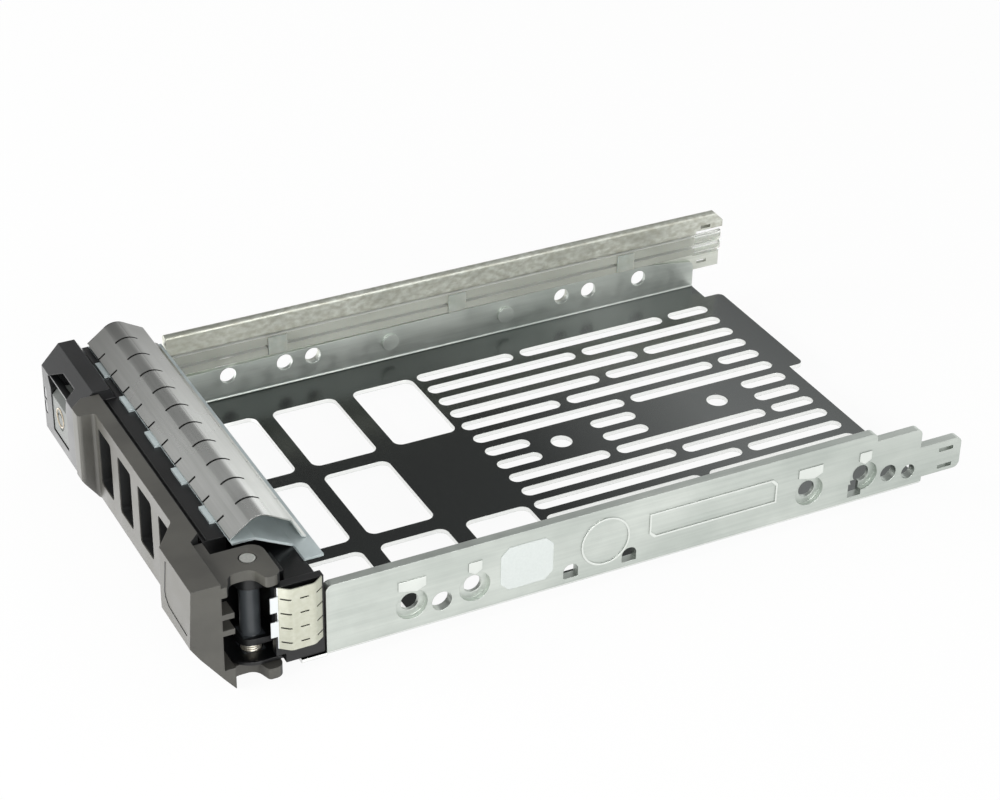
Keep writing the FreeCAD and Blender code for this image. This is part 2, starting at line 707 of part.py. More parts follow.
    screws = (ZERO, s.second_set, s.screw_pitch, s.second_set + s.screw_pitch)
    sinks = Drawing(body, "ScrewSinks", "YZ", near_face)
    for y in screws:
        sinks.circle(y, s.screw_z, s.screw_sink)
    pocket(body, "ScrewSeats", sinks, s.screw_sink_depth)
    bores = Drawing(body, "NearBores", "YZ", near_face)
    for y in screws:
        bores.circle(y, s.screw_z, s.screw_hole)
    bores.circle(s.guide_hole_y, s.guide_hole_z, s.guide_hole)
    bores.circle(s.rear_hole_y, s.rear_hole_z, s.rear_hole)
    bores.circle(s.last_hole_y, s.last_hole_z, s.last_hole)
    pocket(body, "NearHoles", bores, 3 * s.sheet_t)
    far_bores = Drawing(body, "FarBores", "YZ", inner_far)
    for y in screws + (s.far_hole_plain, s.far_hole_rear):
        far_bores.circle(y, s.screw_z, s.screw_hole)
    for step in range(2):
        far_bores.circle(s.rail_rivet_y + step * s.rail_rivet_pitch, s.rail_rivet_z, s.rivet_d)
    pocket(body, "FarHoles", far_bores, 2 * s.sheet_t)
    lug_bores = Drawing(body, "LugRivetBores", "XY", ZERO)
    for x in lug_middles:
        lug_bores.circle(x, lug_rivet_y, s.rivet_d)
    pocket(body, "LugRivetHoles", lug_bores, 2 * s.sheet_t)
    openings = Drawing(body, "WallOpenings", "YZ", near_face)
    half = s.notch_width / 2
    for y in (s.notch_front_y, s.notch_front_y + s.notch_pitch):
        openings.outline([
            (y - half, s.notch_foot),
            (y + half, s.notch_foot),
            (y + half, s.notch_top, half * 0.9),
            (y - half, s.notch_top, half * 0.9),
        ])
    pocket(body, "WallOpeningCuts", openings, 3 * s.sheet_t)
    rear_notch = Drawing(body, "RearNotchOutline", "YZ", near_face)
    rear_notch.box(s.notch_rear_y - half, s.notch_foot, s.notch_rear_y + half, s.notch_top)
    pocket(body, "RearNotch", rear_notch, 3 * s.sheet_t)
    catches = Drawing(body, "CatchSlotOutlines", "YZ", near_face)
    reach = s.catch_slot / 2
    for z in (s.catch_slot_low, s.catch_slot_high):
        rise = s.catch_slot_w / 2
        catches.box(s.catch_slot_y - reach, z - rise, s.catch_slot_y + reach, z + rise)
    pocket(body, "CatchSlots", catches, 3 * s.sheet_t)
    return body


def side_rail():
    """Plate outside the far wall, its top edge hemmed inwards, split into three fingers behind."""
    body = new_body("side_rail")
    section = Drawing(body, "RailSection", "XZ", s.rail_front)
    section.outline([
        (far_face, ZERO),
        (rail_inner, ZERO),
        (rail_inner, s.rail_hem_z),
        (inner_far, s.rail_hem_z),
        (inner_far, s.rail_top, s.sheet_t * 0.9),
        (far_face, s.rail_top, s.sheet_t * 0.9),
    ])
    pad(body, "RailPlate", section, s.rail_rear - s.rail_front, back=True)
    past = s.rail_rear + 1.0
    cuts = Drawing(body, "FingerCuts", "YZ", inner_far)
    cuts.box(s.finger_gap_y, s.finger_mid_top, past, s.finger_top_z)
    cuts.box(s.finger_gap_y, s.finger_low_top, past, s.finger_mid_foot)
    cuts.box(s.finger_gap_y, -s.sheet_t, past, s.finger_low_foot)
    cuts.outline([
        (s.rail_rear - s.finger_chamfer, s.rail_top + s.sheet_t),
        (s.rail_rear - s.finger_chamfer, s.rail_top),
        (s.rail_rear, s.rail_top - s.finger_chamfer),
        (past, s.rail_top - s.finger_chamfer),
        (past, s.rail_top + s.sheet_t),
    ])
    pocket(body, "Fingers", cuts, 3 * s.sheet_t)
    half = s.finger_slot_w / 2
    slots = Drawing(body, "FingerSlots", "YZ", inner_far)
    for middle in (
        (s.finger_top_z + s.rail_top - s.finger_chamfer) / 2,
        (s.finger_low_foot + s.finger_low_top) / 2,
    ):
        slots.box(s.finger_gap_y + 1.4, middle - half, s.rail_rear - 3.8, middle + half)
    pocket(body, "FingerCatches", slots, 3 * s.sheet_t)
    holes = Drawing(body, "RailBores", "YZ", inner_far)
    for y in (ZERO, s.second_set, s.screw_pitch, s.second_set + s.screw_pitch):
        holes.circle(y, s.screw_z, s.screw_sink)
    for y in (s.far_hole_plain, s.far_hole_rear):
        holes.circle(y, s.screw_z, s.screw_hole)
    for step in range(2):
        holes.circle(s.rail_rivet_y + step * s.rail_rivet_pitch, s.rail_rivet_z, s.rivet_d)
    pocket(body, "RailHoles", holes, 3 * s.sheet_t)
    return body


def light_pipe(name, foot, height):
    """Clear bar that carries a status light from the backplane to the front."""
    body = new_body(name)
    section = Drawing(body, "Section", "XY", foot)
    inside = rail_inner + s.pipe_gap
    front = s.tray_front - s.bezel_gap - s.pipe_in_bezel
    section.outline([
        (inside, front),
        (inside + s.pipe_t, front),
        (inside + s.pipe_t, s.pipe_rear - s.pipe_t),
        (inside + s.pipe_t / 2, s.pipe_rear),
        (inside, s.pipe_rear),
    ])
    pad(body, "Bar", section, height)
    return body


def pipe_clips():
    """Three small clips that hold the two light pipes to the rail."""
    body = new_body("pipe_clips")
    inside = rail_inner + s.pipe_gap
    outer = inside + s.pipe_t
    low = s.pipe_low_z + s.pipe_low_h
    section = Drawing(body, "ClipSection", "XZ", s.clip_first)
    section.outline([
        (rail_inner, low + s.pipe_gap),
        (outer, low + s.pipe_gap),
        (outer, s.pipe_low_z + 0.2),
        (outer + 0.5, s.pipe_low_z + 0.2),
        (outer + 0.5, s.pipe_high_z + s.pipe_high_h - 0.2),
        (outer, s.pipe_high_z + s.pipe_high_h - 0.2),
        (outer, s.pipe_high_z - s.pipe_gap),
        (rail_inner, s.pipe_high_z - s.pipe_gap),
    ])
    clip = pad(body, "Clip", section, s.clip_length, back=True)
    repeat(body, "Clips", clip, "Y", 3, s.clip_pitch)
    return body


def bezel_frame():
    """Moulded front: an end block with the button, a shelf and beam behind the handle, a cheek
    with two arms and a knuckle for the hinge pin, and two lugs that reach into the tray."""
    body = new_body("bezel_frame")
    rear = s.tray_front - s.bezel_gap
    block = Drawing(body, "BlockSection", "YZ", far_face)
    block.outline([
        (s.chin_y, s.beam_foot_z),
        (s.bezel_front, s.block_foot_z),
        (s.bezel_front, s.block_face_z),
        (s.block_crest_y, s.block_crest_z),
        (s.block_back_y, s.block_crest_z),
        (s.shelf_step_y, s.shelf_z),
        (s.shelf_rear, s.shelf_z),
        (s.shelf_rear, s.beam_z),
        (rear, s.beam_z),
        (rear, s.beam_foot_z),
    ])
    pad(body, "EndBlock", block, s.block_near_x + s.half_width)
    beam = Drawing(body, "BeamSection", "YZ", s.block_near_x)
    beam.outline([
        (s.shelf_front, s.beam_foot_z),
        (s.shelf_front, s.shelf_z),
        (s.shelf_rear, s.shelf_z),
        (s.shelf_rear, s.beam_z),
        (rear, s.beam_z),
        (rear, s.beam_foot_z),
    ])
    pad(body, "Beam", beam, s.beam_near_x - s.block_near_x)
    cheek = Drawing(body, "CheekSection", "YZ", s.beam_near_x)
    cheek.outline([
        (s.cheek_front, s.cheek_foot_z),
        (s.cheek_front, s.beam_z),
        (rear, s.beam_z),
        (rear, s.cheek_foot_z),
    ])
    pad(body, "Cheek", cheek, s.cheek_x - s.beam_near_x)
    side = Drawing(body, "CheekWallSection", "YZ", s.cheek_x - s.beam_wall)
    side.outline([
        (s.cheek_wall_front, s.cheek_wall_foot),
        (s.cheek_wall_front, s.side_top),
        (rear, s.side_top),
        (rear, s.cheek_wall_foot),
    ])
    pad(body, "CheekWall", side, s.beam_wall)
    arm_top = s.ear_top - s.ear_t - s.ear_gap
    for label, foot, thickness in (
        ("LowArm", s.arm_low_z, s.arm_t),
        ("HighArm", arm_top - s.arm_high_t, s.arm_high_t),
    ):
        arm = Drawing(body, label + "Plan", "XY", foot)
        arm.outline([
            (s.pin_x - s.arm_r, s.cheek_front + 2.0),
            (s.pin_x - s.arm_r, s.pin_y - s.arm_r, s.arm_r * 0.98),
            (s.pin_x + s.arm_r, s.pin_y - s.arm_r, s.arm_r * 0.98),
            (s.pin_x + s.arm_r, s.cheek_front + 2.0),
        ])
        pad(body, label, arm, thickness)
    floor_z = s.ear_foot + s.ear_low_t + s.ear_gap
    pan = Drawing(body, "PanPlan", "XY", floor_z)
    pan.box(
        s.beam_near_x - s.beam_wall,
        s.handle_back + s.ear_gap,
        s.pin_x,
        s.cheek_front + s.beam_wall,
    )
    pad(body, "Pan", pan, s.pan_t)
    disc = Drawing(body, "PanDiscPlan", "XY", floor_z)
    disc.circle(s.pin_x, s.pin_y, 2 * s.pan_r)
    pad(body, "PanDisc", disc, s.pan_t)
    side = Drawing(body, "PanSidePlan", "XY", floor_z)
    side.box(s.pin_x, s.pin_y, s.pin_x + s.pan_r, s.cheek_front + s.beam_wall)
    pad(body, "PanSide", side, s.pan_t)
    knuckle = Drawing(body, "KnucklePlan", "XY", s.arm_low_z)
    knuckle.circle(s.pin_x, s.pin_y, s.knuckle_d)
    pad(body, "Knuckle", knuckle, arm_top - s.arm_low_z)
    seat = Drawing(body, "SpringSeatPlan", "XY", floor_z)
    seat.circle(s.pin_x, s.pin_y, s.spring_d + s.spring_wire + 2 * s.ear_gap)
    pocket(body, "SpringSeat", seat, s.pan_t, back=True)
    bore = Drawing(body, "KnuckleBorePlan", "XY", s.handle_top)
    bore.circle(s.pin_x, s.pin_y, s.pin_d + 2 * s.pin_play)
    pocket(body, "KnuckleBore", bore, s.handle_top - s.cheek_foot_z)
    inside = Drawing(body, "BeamOpening", "XZ", s.shelf_front - 1.0)
    inside.box(
        s.block_near_x + s.beam_wall,
        s.beam_foot_z + s.beam_wall,
        s.beam_near_x - s.beam_wall,
        s.beam_z - s.beam_wall,
        s.vent_r,
    )
    pocket(body, "BeamHollow", inside, rear - s.shelf_front + 2.0)
    for label, middle in zip(("Far", "Near"), lug_middles):
        lug = Drawing(body, label + "LugSection", "YZ", middle - s.lug_w / 2)
        lug.outline([
            (rear - 1.0, s.cheek_foot_z),
            (rear - 1.0, s.lug_top),
            (s.lug_rear, s.lug_top, s.corner_r),
            (s.lug_rear, ZERO),
            (s.tray_front, ZERO),
            (s.tray_front, s.cheek_foot_z),
        ])
        pad(body, label + "Lug", lug, s.lug_w)
    rivets = Drawing(body, "LugRivetBores", "XY", ZERO)
    for x in lug_middles:
        rivets.circle(x, lug_rivet_y, s.rivet_d)
    pocket(body, "LugRivetHoles", rivets, s.lug_top - s.corner_r, back=True)
    half = s.button_w / 2 + s.button_gap
    recess = Drawing(body, "ButtonRecessOutline", "XZ", s.bezel_front - 1.0)
    recess.box(
        s.button_x - half,
        s.button_foot - s.button_gap,
        s.button_x + half,
        s.button_top + s.button_gap,
    )
    depth = s.button_proud + s.button_depth + s.button_travel + s.button_gap
    pocket(body, "ButtonRecess", recess, depth + 1.0)
    thumb = Drawing(body, "ThumbRecessOutline", "XZ", s.bezel_front - 1.0)
    thumb.outline([
        (s.button_x - half, s.button_top),
        (s.button_x + half, s.button_top),
        (s.recess_near_x, s.ledge_z),
        (s.recess_near_x, s.recess_top),
        (s.recess_far_x + half, s.recess_top),
        (s.recess_far_x, s.ledge_z),
    ])
    pocket(body, "ThumbRecess", thumb, s.button_depth)
    ledge = Drawing(body, "LedgeOutline", "XZ", s.bezel_front + s.beam_wall)
    ledge.box(s.recess_far_x, s.ledge_z, s.recess_near_x, s.ledge_z + s.ledge_t)
    pad(body, "Ledge", ledge, s.beam_wall - s.button_gap)
    for label, foot in (("Low", s.lens_low_z), ("High", s.lens_high_z)):
        window = Drawing(body, label + "WindowOutline", "XZ", s.bezel_front - 1.0)
        window.box(s.lens_x - s.lens_w / 2, foot, s.lens_x + s.lens_w / 2, foot + s.lens_h)
        pocket(body, label + "Window", window, s.lens_depth + 1.0)
    inside = rail_inner + s.pipe_gap
    for label, foot, height in (
        ("Low", s.pipe_low_z, s.pipe_low_h),
        ("High", s.pipe_high_z, s.pipe_high_h),
    ):
        channel = Drawing(body, label + "ChannelOutline", "XZ", rear)
        gap = s.pipe_gap
        channel.box(inside - gap, foot - gap, inside + s.pipe_t + gap, foot + height + gap)
        pocket(body, label + "Channel", channel, s.pipe_in_bezel + gap, back=True)
    return body


def lens(name, foot):
    """Dark window over the front end of a light pipe."""
    body = new_body(name)
    outline = Drawing(body, "Face", "XZ", s.bezel_front + 0.1)
    half = s.lens_w / 2
    outline.box(s.lens_x - half, foot, s.lens_x + half, foot + s.lens_h)
    pad(body, "Window", outline, s.lens_depth - 0.1, back=True)
    return body


def release_button():
    """Push button that frees the handle, with a ring on its face and a guide behind it."""
    body = new_body("release_button")
    front = s.bezel_front + s.button_proud
    half = s.button_w / 2
    side = Drawing(body, "ButtonSection", "YZ", s.button_x - half)
    side.outline([
        (front, s.button_foot),
        (front, s.button_top - 1.6),
        (front + 1.6, s.button_top),
        (front + s.button_depth, s.button_top),
        (front + s.button_depth, s.button_foot),
    ])
    pad(body, "Button", side, s.button_w)
    middle = (s.button_foot + s.button_top - 1.6) / 2
    ring = Drawing(body, "RingOutline", "XZ", front)
    ring.circle(s.button_x, middle, s.button_ring)
    ring.circle(s.button_x, middle, s.button_ring - 0.9)
    pocket(body, "Ring", ring, s.button_proud)
    hollow = Drawing(body, "ButtonHollowOutline", "XZ", front + s.button_depth)
    hollow.box(
        s.button_x - half + s.beam_wall,
        s.button_foot + s.beam_wall,
        s.button_x + half - s.beam_wall,
        s.button_top - s.beam_wall,
    )
    pocket(body, "ButtonHollow", hollow, s.button_depth - s.beam_wall, back=True)
    return body


def handle():
    """Lever handle: a grip block at the pin, a vented web, an end grip and two ears."""
    body = new_body("handle")
    foot = s.grip_toe_z
    plan = Drawing(body, "HandlePlan", "XY", s.web_foot_z)
    plan.outline([
        (s.end_far_x, s.handle_back),
        (s.end_far_x, s.end_front + s.end_cut),
        (s.end_far_x + s.end_cut, s.end_front, s.vent_r),
        (s.end_near_x, s.end_front, s.vent_r),
        (s.end_near_x, s.web_front, s.vent_r),
        (s.web_start_x, s.web_front, s.ear_t),
        (s.grip_far_x, s.grip_front - s.grip_lean, s.ear_t),
        (s.handle_near_x, s.grip_front - s.grip_lean),
        (s.handle_near_x, s.grip_toe_y),
        (s.grip_far_x, s.grip_toe_y),
        (s.grip_far_x - 2.5, s.handle_back),
    ])
    pad(body, "Lever", plan, s.handle_top - s.web_foot_z)
    roof = s.ear_top - s.ear_t
    for label, ear_foot, thickness in (
        ("UpperEar", roof, s.ear_t),
        ("LowerEar", s.ear_foot, s.ear_low_t),
    ):
        ear = Drawing(body, label + "Plan", "XY", ear_foot)
        ear.outline([
            (s.grip_far_x, s.grip_toe_y),
            (s.grip_far_x, s.handle_back),
            (s.ear_far_x, s.handle_back),
            (s.ear_far_x, s.ear_rear, s.ear_t * 1.2),
            (s.handle_near_x + 0.4, s.ear_rear, s.ear_t * 0.8),
            (s.handle_near_x + 0.4, s.ear_scoop_rear, s.vent_r),
            (s.handle_near_x - s.ear_scoop, s.ear_scoop_rear - 1.5, s.ear_t),
            (s.handle_near_x - s.ear_scoop, s.ear_scoop_front + 1.5, s.ear_t),
            (s.handle_near_x, s.ear_scoop_front, s.vent_r),
            (s.handle_near_x, s.grip_toe_y),
        ])
        pad(body, label, ear, thickness)
    toe = Drawing(body, "ToeSection", "YZ", s.grip_far_x)
    toe.outline([
        (s.grip_front, s.web_foot_z + 0.5),
        (s.grip_front, s.grip_break_z),
        (s.grip_toe_y, s.grip_break_z),
        (s.grip_toe_y, s.web_foot_z + 0.5),
        (s.handle_back, s.web_foot_z + 0.5),
        (s.handle_back, s.ear_foot),
        (s.grip_toe_y, s.ear_foot),
    ])
    pad(body, "Toe", toe, s.handle_near_x - s.grip_far_x)
    face = Drawing(body, "FaceSlope", "YZ", s.end_far_x - 1.0)
    lean_front = s.grip_front - s.grip_lean
    past = lean_front - 3.0
    face.outline([
        (past, s.handle_top + 1.0),
        (s.grip_front, s.handle_top + 1.0),
        (s.grip_front, s.handle_top),
        (lean_front, s.grip_break_z),
        (s.grip_knee_y, s.grip_knee_z),
        (s.grip_toe_y, foot),
        (s.grip_toe_y + 2.4, s.ear_foot),
        (s.grip_toe_y + 2.4, s.ear_foot - 1.0),
        (past, s.ear_foot - 1.0),
    ])
    pocket(body, "Slopes", face, s.handle_near_x - s.end_far_x + 2.0, back=True)
    vents = Drawing(body, "VentOutline", "XZ", s.grip_front)
    vents.box(s.vent_x, s.vent_foot, s.vent_x + s.vent_w, s.vent_top, s.vent_r)
    cut = pocket(body, "Vent", vents, s.handle_back - s.grip_front + 1.0)
    repeat(body, "Vents", cut, "X", 4, s.vent_pitch)
    ribs = Drawing(body, "RibSection", "XZ", s.grip_toe_y)
    for step in range(2):
        rib_foot = s.rib_low_z + step * s.rib_pitch
        ribs.box(s.handle_near_x - s.rib_length, rib_foot, s.handle_near_x, rib_foot + s.rib_t)
    pad(body, "FingerRibs", ribs, s.rib_rear - s.grip_toe_y, back=True)
    bore = Drawing(body, "EarBorePlan", "XY", s.ear_top)
    bore.circle(s.pin_x, s.pin_y, s.pin_d + 2 * s.pin_play)
    pocket(body, "EarBores", bore, s.ear_top - s.ear_foot + 1.0)
    sink = Drawing(body, "PinSinkPlan", "XY", s.ear_top)
    sink.circle(s.pin_x, s.pin_y, s.pin_head + 2 * s.ear_gap)
    pocket(body, "PinSink", sink, s.pin_head_h + s.pin_play)
    under = Drawing(body, "ClipSinkPlan", "XY", s.ear_foot)
    under.circle(s.pin_x, s.pin_y, s.clip_d + 2 * s.ear_gap)
    pocket(body, "ClipSink", under, s.clip_t + s.ear_gap + s.pin_play, back=True)
    return body


def handle_pin():
    """Steel hinge pin with a flat head."""
    body = new_body("handle_pin")
    head_foot = s.ear_top - s.pin_head_h
    shank = Drawing(body, "ShankPlan", "XY", s.ear_foot + s.pin_play)
    shank.circle(s.pin_x, s.pin_y, s.pin_d)
    pad(body, "Shank", shank, head_foot - s.ear_foot - s.pin_play)
    head = Drawing(body, "HeadPlan", "XY", head_foot)
    head.circle(s.pin_x, s.pin_y, s.pin_head)
    pad(body, "Head", head, s.pin_head_h - s.pin_play)
    return body


def pin_clip():
    """Retaining ring pushed on the pin's lower end."""
    body = new_body("pin_clip")
    plan = Drawing(body, "RingPlan", "XY", s.ear_foot + s.ear_gap)
    plan.circle(s.pin_x, s.pin_y, s.clip_d)
    plan.circle(s.pin_x, s.pin_y, s.pin_d)
    pad(body, "Ring", plan, s.clip_t)
    return body


def torsion_spring():
    """Wire spring round the pin, between the lower arm and the lower ear."""
    foot = s.ear_foot + s.ear_low_t + s.ear_gap + s.spring_wire / 2
    room = s.arm_low_z - s.ear_gap - s.spring_wire / 2 - foot
    body = new_body("torsion_spring")
    coil = body.newObject("PartDesign::AdditiveHelix", "Coil")
    wire = Drawing(body, "WireSection", "XZ", ZERO)
    wire.circle(s.spring_d / 2, ZERO, s.spring_wire)
    coil.Profile = wire.finish()
    axis = [f for f in body.Origin.OriginFeatures if f.Role == "Z_Axis"][0]
    coil.ReferenceAxis = (axis, [""])
    coil.Mode = "height-turns-growth"
    drive(coil, "Height", room)
    drive(coil, "Turns", s.spring_turns)
    coil.Height = room.value
    coil.Turns = s.spring_turns.value
    coil.Growth = 0
    drive(body, "Placement.Base.x", frame_shift[0] + s.pin_x)
    drive(body, "Placement.Base.y", frame_shift[1] + s.pin_y)
    drive(body, "Placement.Base.z", frame_shift[2] + foot)
    doc.recompute()
    return body


def shield_plate():
    """Sheet over the beam under the top spring strip, with tabs along its front edge."""
    body = new_body("shield_plate")
    thick = s.shield_t
    slope = [
        (s.shield_tail_y, s.beam_z),
        (s.shield_rear, s.beam_z),
        (s.shield_rear, s.beam_z + thick),
        (s.shield_tail_y + thick / 5, s.beam_z + thick),
    ]
    plate = Drawing(body, "PlateSection", "YZ", s.strip_far_x)
    plate.outline([(s.shield_bend_y, s.shelf_z)] + slope + [
        (s.shield_bend_y + thick / 5, s.shelf_z + thick),
        (s.shield_front, s.shelf_z + thick),
        (s.shield_front, s.shelf_z),
    ])
    pad(body, "Plate", plate, s.shield_near_x - s.strip_far_x)
    tail = Drawing(body, "TailSection", "YZ", s.shield_near_x)
    tail.outline(slope)
    pad(body, "Tail", tail, s.shield_tail_x - s.shield_near_x)
    tabs = Drawing(body, "TabPlan", "XY", s.shelf_z)
    first = s.slit_x + s.tab_inset
    tabs.box(first, s.shield_tabs_y, first + s.slit_pitch - 2 * s.tab_inset, s.shield_front)
    tab = pad(body, "Tab", tabs, thick)
    repeat(body, "Tabs", tab, "X", 5, 2 * s.slit_pitch)
    return body


def top_gasket():
    """Crowned spring strip along the bezel's top, slit into fingers."""
    body = new_body("top_gasket")
    section = Drawing(body, "StripSection", "YZ", s.strip_far_x)
    thin = s.strip_t
    lip_y = s.strip_rear + s.strip_lip
    section.outline([
        (s.strip_front, s.strip_front_z),
        (s.strip_crown_y, s.strip_crown_z, s.strip_crown_r),
        (s.strip_slope_y, s.strip_slope_z, s.strip_lip),
        (s.strip_rear, s.strip_rear_z, s.strip_lip / 2),
        (lip_y, s.strip_rear_z - s.strip_lip / 2),
        (lip_y, s.strip_rear_z - s.strip_lip / 2 - thin),
        (s.strip_rear - thin / 2, s.strip_rear_z - thin, s.strip_lip / 2),
        (s.strip_slope_y - thin / 2, s.strip_slope_z - thin, s.strip_lip),
        (s.strip_crown_y, s.strip_crown_z - thin, s.strip_crown_r - thin),
        (s.strip_front, s.strip_front_z - thin),
    ])
    pad(body, "Strip", section, s.strip_near_x - s.strip_far_x)
    slit = Drawing(body, "SlitOutlines", "XY", s.strip_crown_z + 1.0)
    right = s.slit_x + s.slit_w
    slit.box(s.slit_x, s.slit_front, right, s.slit_rear)
    slit.box(s.slit_x, s.strip_front - 1.0, right, s.strip_front + 1.6)
    slit.box(s.slit_x, s.strip_rear - 0.6, right, lip_y + 1.0)
    cut = pocket(body, "Slit", slit, s.strip_crown_z - s.beam_z)
    repeat(body, "Slits", cut, "X", 10, s.slit_pitch)
    return body


def side_gasket():
    """Bulging spring strip on the near cheek."""
    body = new_body("side_gasket")
    base = s.cheek_x
    out = base + s.side_bulge
    thin = s.side_t
    slope = s.side_bulge * 1.2
    plan = Drawing(body, "SideStripPlan", "XY", s.side_foot)
    plan.outline([
        (base, s.side_front),
        (out, s.side_front + slope, s.side_bulge),
        (out, s.side_rear - slope, s.side_bulge),
        (base + thin, s.side_rear),
        (base, s.side_rear),
        (out - thin, s.side_rear - slope, s.side_bulge - thin),
        (out - thin, s.side_front + slope, s.side_bulge - thin),
        (base, s.side_front + thin * 1.6),
    ])
    pad(body, "SideStrip", plan, s.side_top - s.side_foot)
    slits = Drawing(body, "SideSlitOutlines", "YZ", out + thin)
    for column in range(3):
        front = s.side_column_y + column * s.side_column_pitch
        slits.box(front, s.side_row_z, front + s.side_slit, s.side_row_z + s.slit_w)
    cut = pocket(body, "SideSlit", slits, s.side_bulge + thin)
    repeat(body, "SideSlits", cut, "Z", 4, s.side_row_pitch)
    tab = Drawing(body, "SideTabOutline", "YZ", base)
    for step in range(2):
        foot = s.side_tab_z + step * s.side_tab_pitch
        tab.box(s.side_tab_y, foot, s.side_front + thin, foot + s.side_tab_h)
    pad(body, "SideTabs", tab, thin)
    return body


def label():
    """Plain paper label on the near wall."""
    body = new_body("label")
    outline = Drawing(body, "LabelOutline", "YZ", near_face)
    outline.outline([
        (s.label_front, s.label_foot + s.label_r),
        (s.label_front, s.label_top - s.label_r),
        (s.label_front + s.label_r, s.label_top),
        (s.label_rear - s.label_r, s.label_top),
        (s.label_rear, s.label_top - s.label_r),
        (s.label_rear, s.label_foot + s.label_r),
        (s.label_rear - s.label_r, s.label_foot),
        (s.label_front + s.label_r, s.label_foot),
    ])
    pad(body, "Paper", outline, s.label_t)
    return body


def bezel_rivets():
    """Two rivets through the floor into the bezel's lugs."""
    body = new_body("bezel_rivets")
    heads = Drawing(body, "Heads", "XY", floor_foot - s.rivet_head_h)
    shanks = Drawing(body, "Shanks", "XY", floor_foot)
    for x in lug_middles:
        heads.circle(x, lug_rivet_y, s.rivet_head)
        shanks.circle(x, lug_rivet_y, s.rivet_d)
    pad(body, "HeadPads", heads, s.rivet_head_h)
    pad(body, "ShankPads", shanks, s.sheet_t + s.lug_top - s.corner_r)
    return body


def rail_rivets():
    """Two rivets that hold the side rail to the far wall."""
    body = new_body("rail_rivets")
    heads = Drawing(body, "Heads", "YZ", inner_far)
    shanks = Drawing(body, "Shanks", "YZ", far_face)
    for step in range(2):
        y = s.rail_rivet_y + step * s.rail_rivet_pitch
        heads.circle(y, s.rail_rivet_z, s.rivet_head)
        shanks.circle(y, s.rail_rivet_z, s.rivet_d)
    pad(body, "HeadPads", heads, s.rivet_head_h)
    pad(body, "ShankPads", shanks, 2 * s.sheet_t)
    return body


pieces = [
    tray(),
    side_rail(),
    light_pipe("light_pipe_upper", s.pipe_high_z, s.pipe_high_h),
    light_pipe("light_pipe_lower", s.pipe_low_z, s.pipe_low_h),
    pipe_clips(),
    bezel_frame(),
    lens("status_window_upper", s.lens_high_z),
    lens("status_window_lower", s.lens_low_z),
    release_button(),
    handle(),
    handle_pin(),
    pin_clip(),
    torsion_spring(),
    shield_plate(),
    top_gasket(),
    side_gasket(),
    label(),
    bezel_rivets(),
    rail_rivets(),
]
doc.recompute()

for thing in doc.Objects:
    if "Invalid" in thing.State or "Error" in thing.State:
        raise RuntimeError("%s failed" % thing.Name)
os.makedirs("parts", exist_ok=True)
for piece in pieces:
    shape = piece.Shape
    if shape.isNull() or not shape.isValid():
        raise RuntimeError("%s has no valid shape" % piece.Label)
    shape.exportStep("parts/%s.step" % piece.Label)
    print(piece.Label, len(shape.Solids), round(shape.Volume, 1))
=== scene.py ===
import math

import bmesh
import bpy
from mathutils import Matrix, Vector


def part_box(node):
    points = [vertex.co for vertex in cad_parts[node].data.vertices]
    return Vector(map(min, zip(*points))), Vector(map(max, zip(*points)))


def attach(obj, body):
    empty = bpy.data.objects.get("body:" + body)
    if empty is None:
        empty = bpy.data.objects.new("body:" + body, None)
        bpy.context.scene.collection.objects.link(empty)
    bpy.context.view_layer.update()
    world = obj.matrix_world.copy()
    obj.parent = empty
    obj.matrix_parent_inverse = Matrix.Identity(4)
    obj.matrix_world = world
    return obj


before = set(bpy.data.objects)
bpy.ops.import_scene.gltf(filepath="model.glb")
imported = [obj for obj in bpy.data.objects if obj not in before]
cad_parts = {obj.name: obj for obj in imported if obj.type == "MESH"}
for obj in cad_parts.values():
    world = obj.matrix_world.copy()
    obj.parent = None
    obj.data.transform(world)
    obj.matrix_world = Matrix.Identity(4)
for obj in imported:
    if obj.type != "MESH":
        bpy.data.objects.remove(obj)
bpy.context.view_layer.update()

# Tray: one folded sheet of zinc-plated steel, 1.1 mm thick: floor, near wall and low far wall.
# The plating is bright but not polished: rolling lines run front to rear, with faint blotches
# and handling marks. The slotted floor's upper face has a painted dark reflection, with a paler
# painted sheen towards the rear.


def linear(code):
    """An sRGB hex colour as the linear values that the shaders use."""
    channels = [int(code[i:i + 2], 16) / 255 for i in (1, 3, 5)]
    return [c / 12.92 if c <= 0.04045 else ((c + 0.055) / 1.055) ** 2.4 for c in channels] + [1.0]


def add(tree, kind, links=None, values=None, stops=(), **settings):
    """One node: its settings, the inputs that are set or linked, and a colour ramp's stops."""
    made = tree.nodes.new(kind)
    for name, value in settings.items():
        setattr(made, name, value)
    for name, value in (values or {}).items():
        made.inputs[name].default_value = value
    for name, socket in (links or {}).items():
        tree.links.new(socket, made.inputs[name])
    for index, (position, colour) in enumerate(stops):
        if index > 1:
            made.color_ramp.elements.new(position)
        made.color_ramp.elements[index].position = position
        made.color_ramp.elements[index].color = colour
    return made


def finish_named(name, **sockets):
    """A new material with its Principled shader's own sockets set."""
    made = bpy.data.materials.new(name)
    made.use_nodes = True
    shader = made.node_tree.nodes["Principled BSDF"]
    for socket, value in sockets.items():
        shader.inputs[socket.replace("_", " ")].default_value = value
    return made, made.node_tree, shader


def grain(tree, across_mm, along_mm, detail=3.0, axis="Y"):
    """Noise drawn out along one axis: lines this far apart, and this long."""
    place = add(tree, "ShaderNodeTexCoord").outputs["Object"]
    scale = [1000 / across_mm] * 3
    scale["XYZ".index(axis)] = 1000 / along_mm
    drawn = add(tree, "ShaderNodeMapping", {"Vector": place}, {"Scale": scale}).outputs["Vector"]
    noise = add(tree, "ShaderNodeTexNoise", {"Vector": drawn}, {"Scale": 1.0, "Detail": detail})
    return noise.outputs["Fac"]


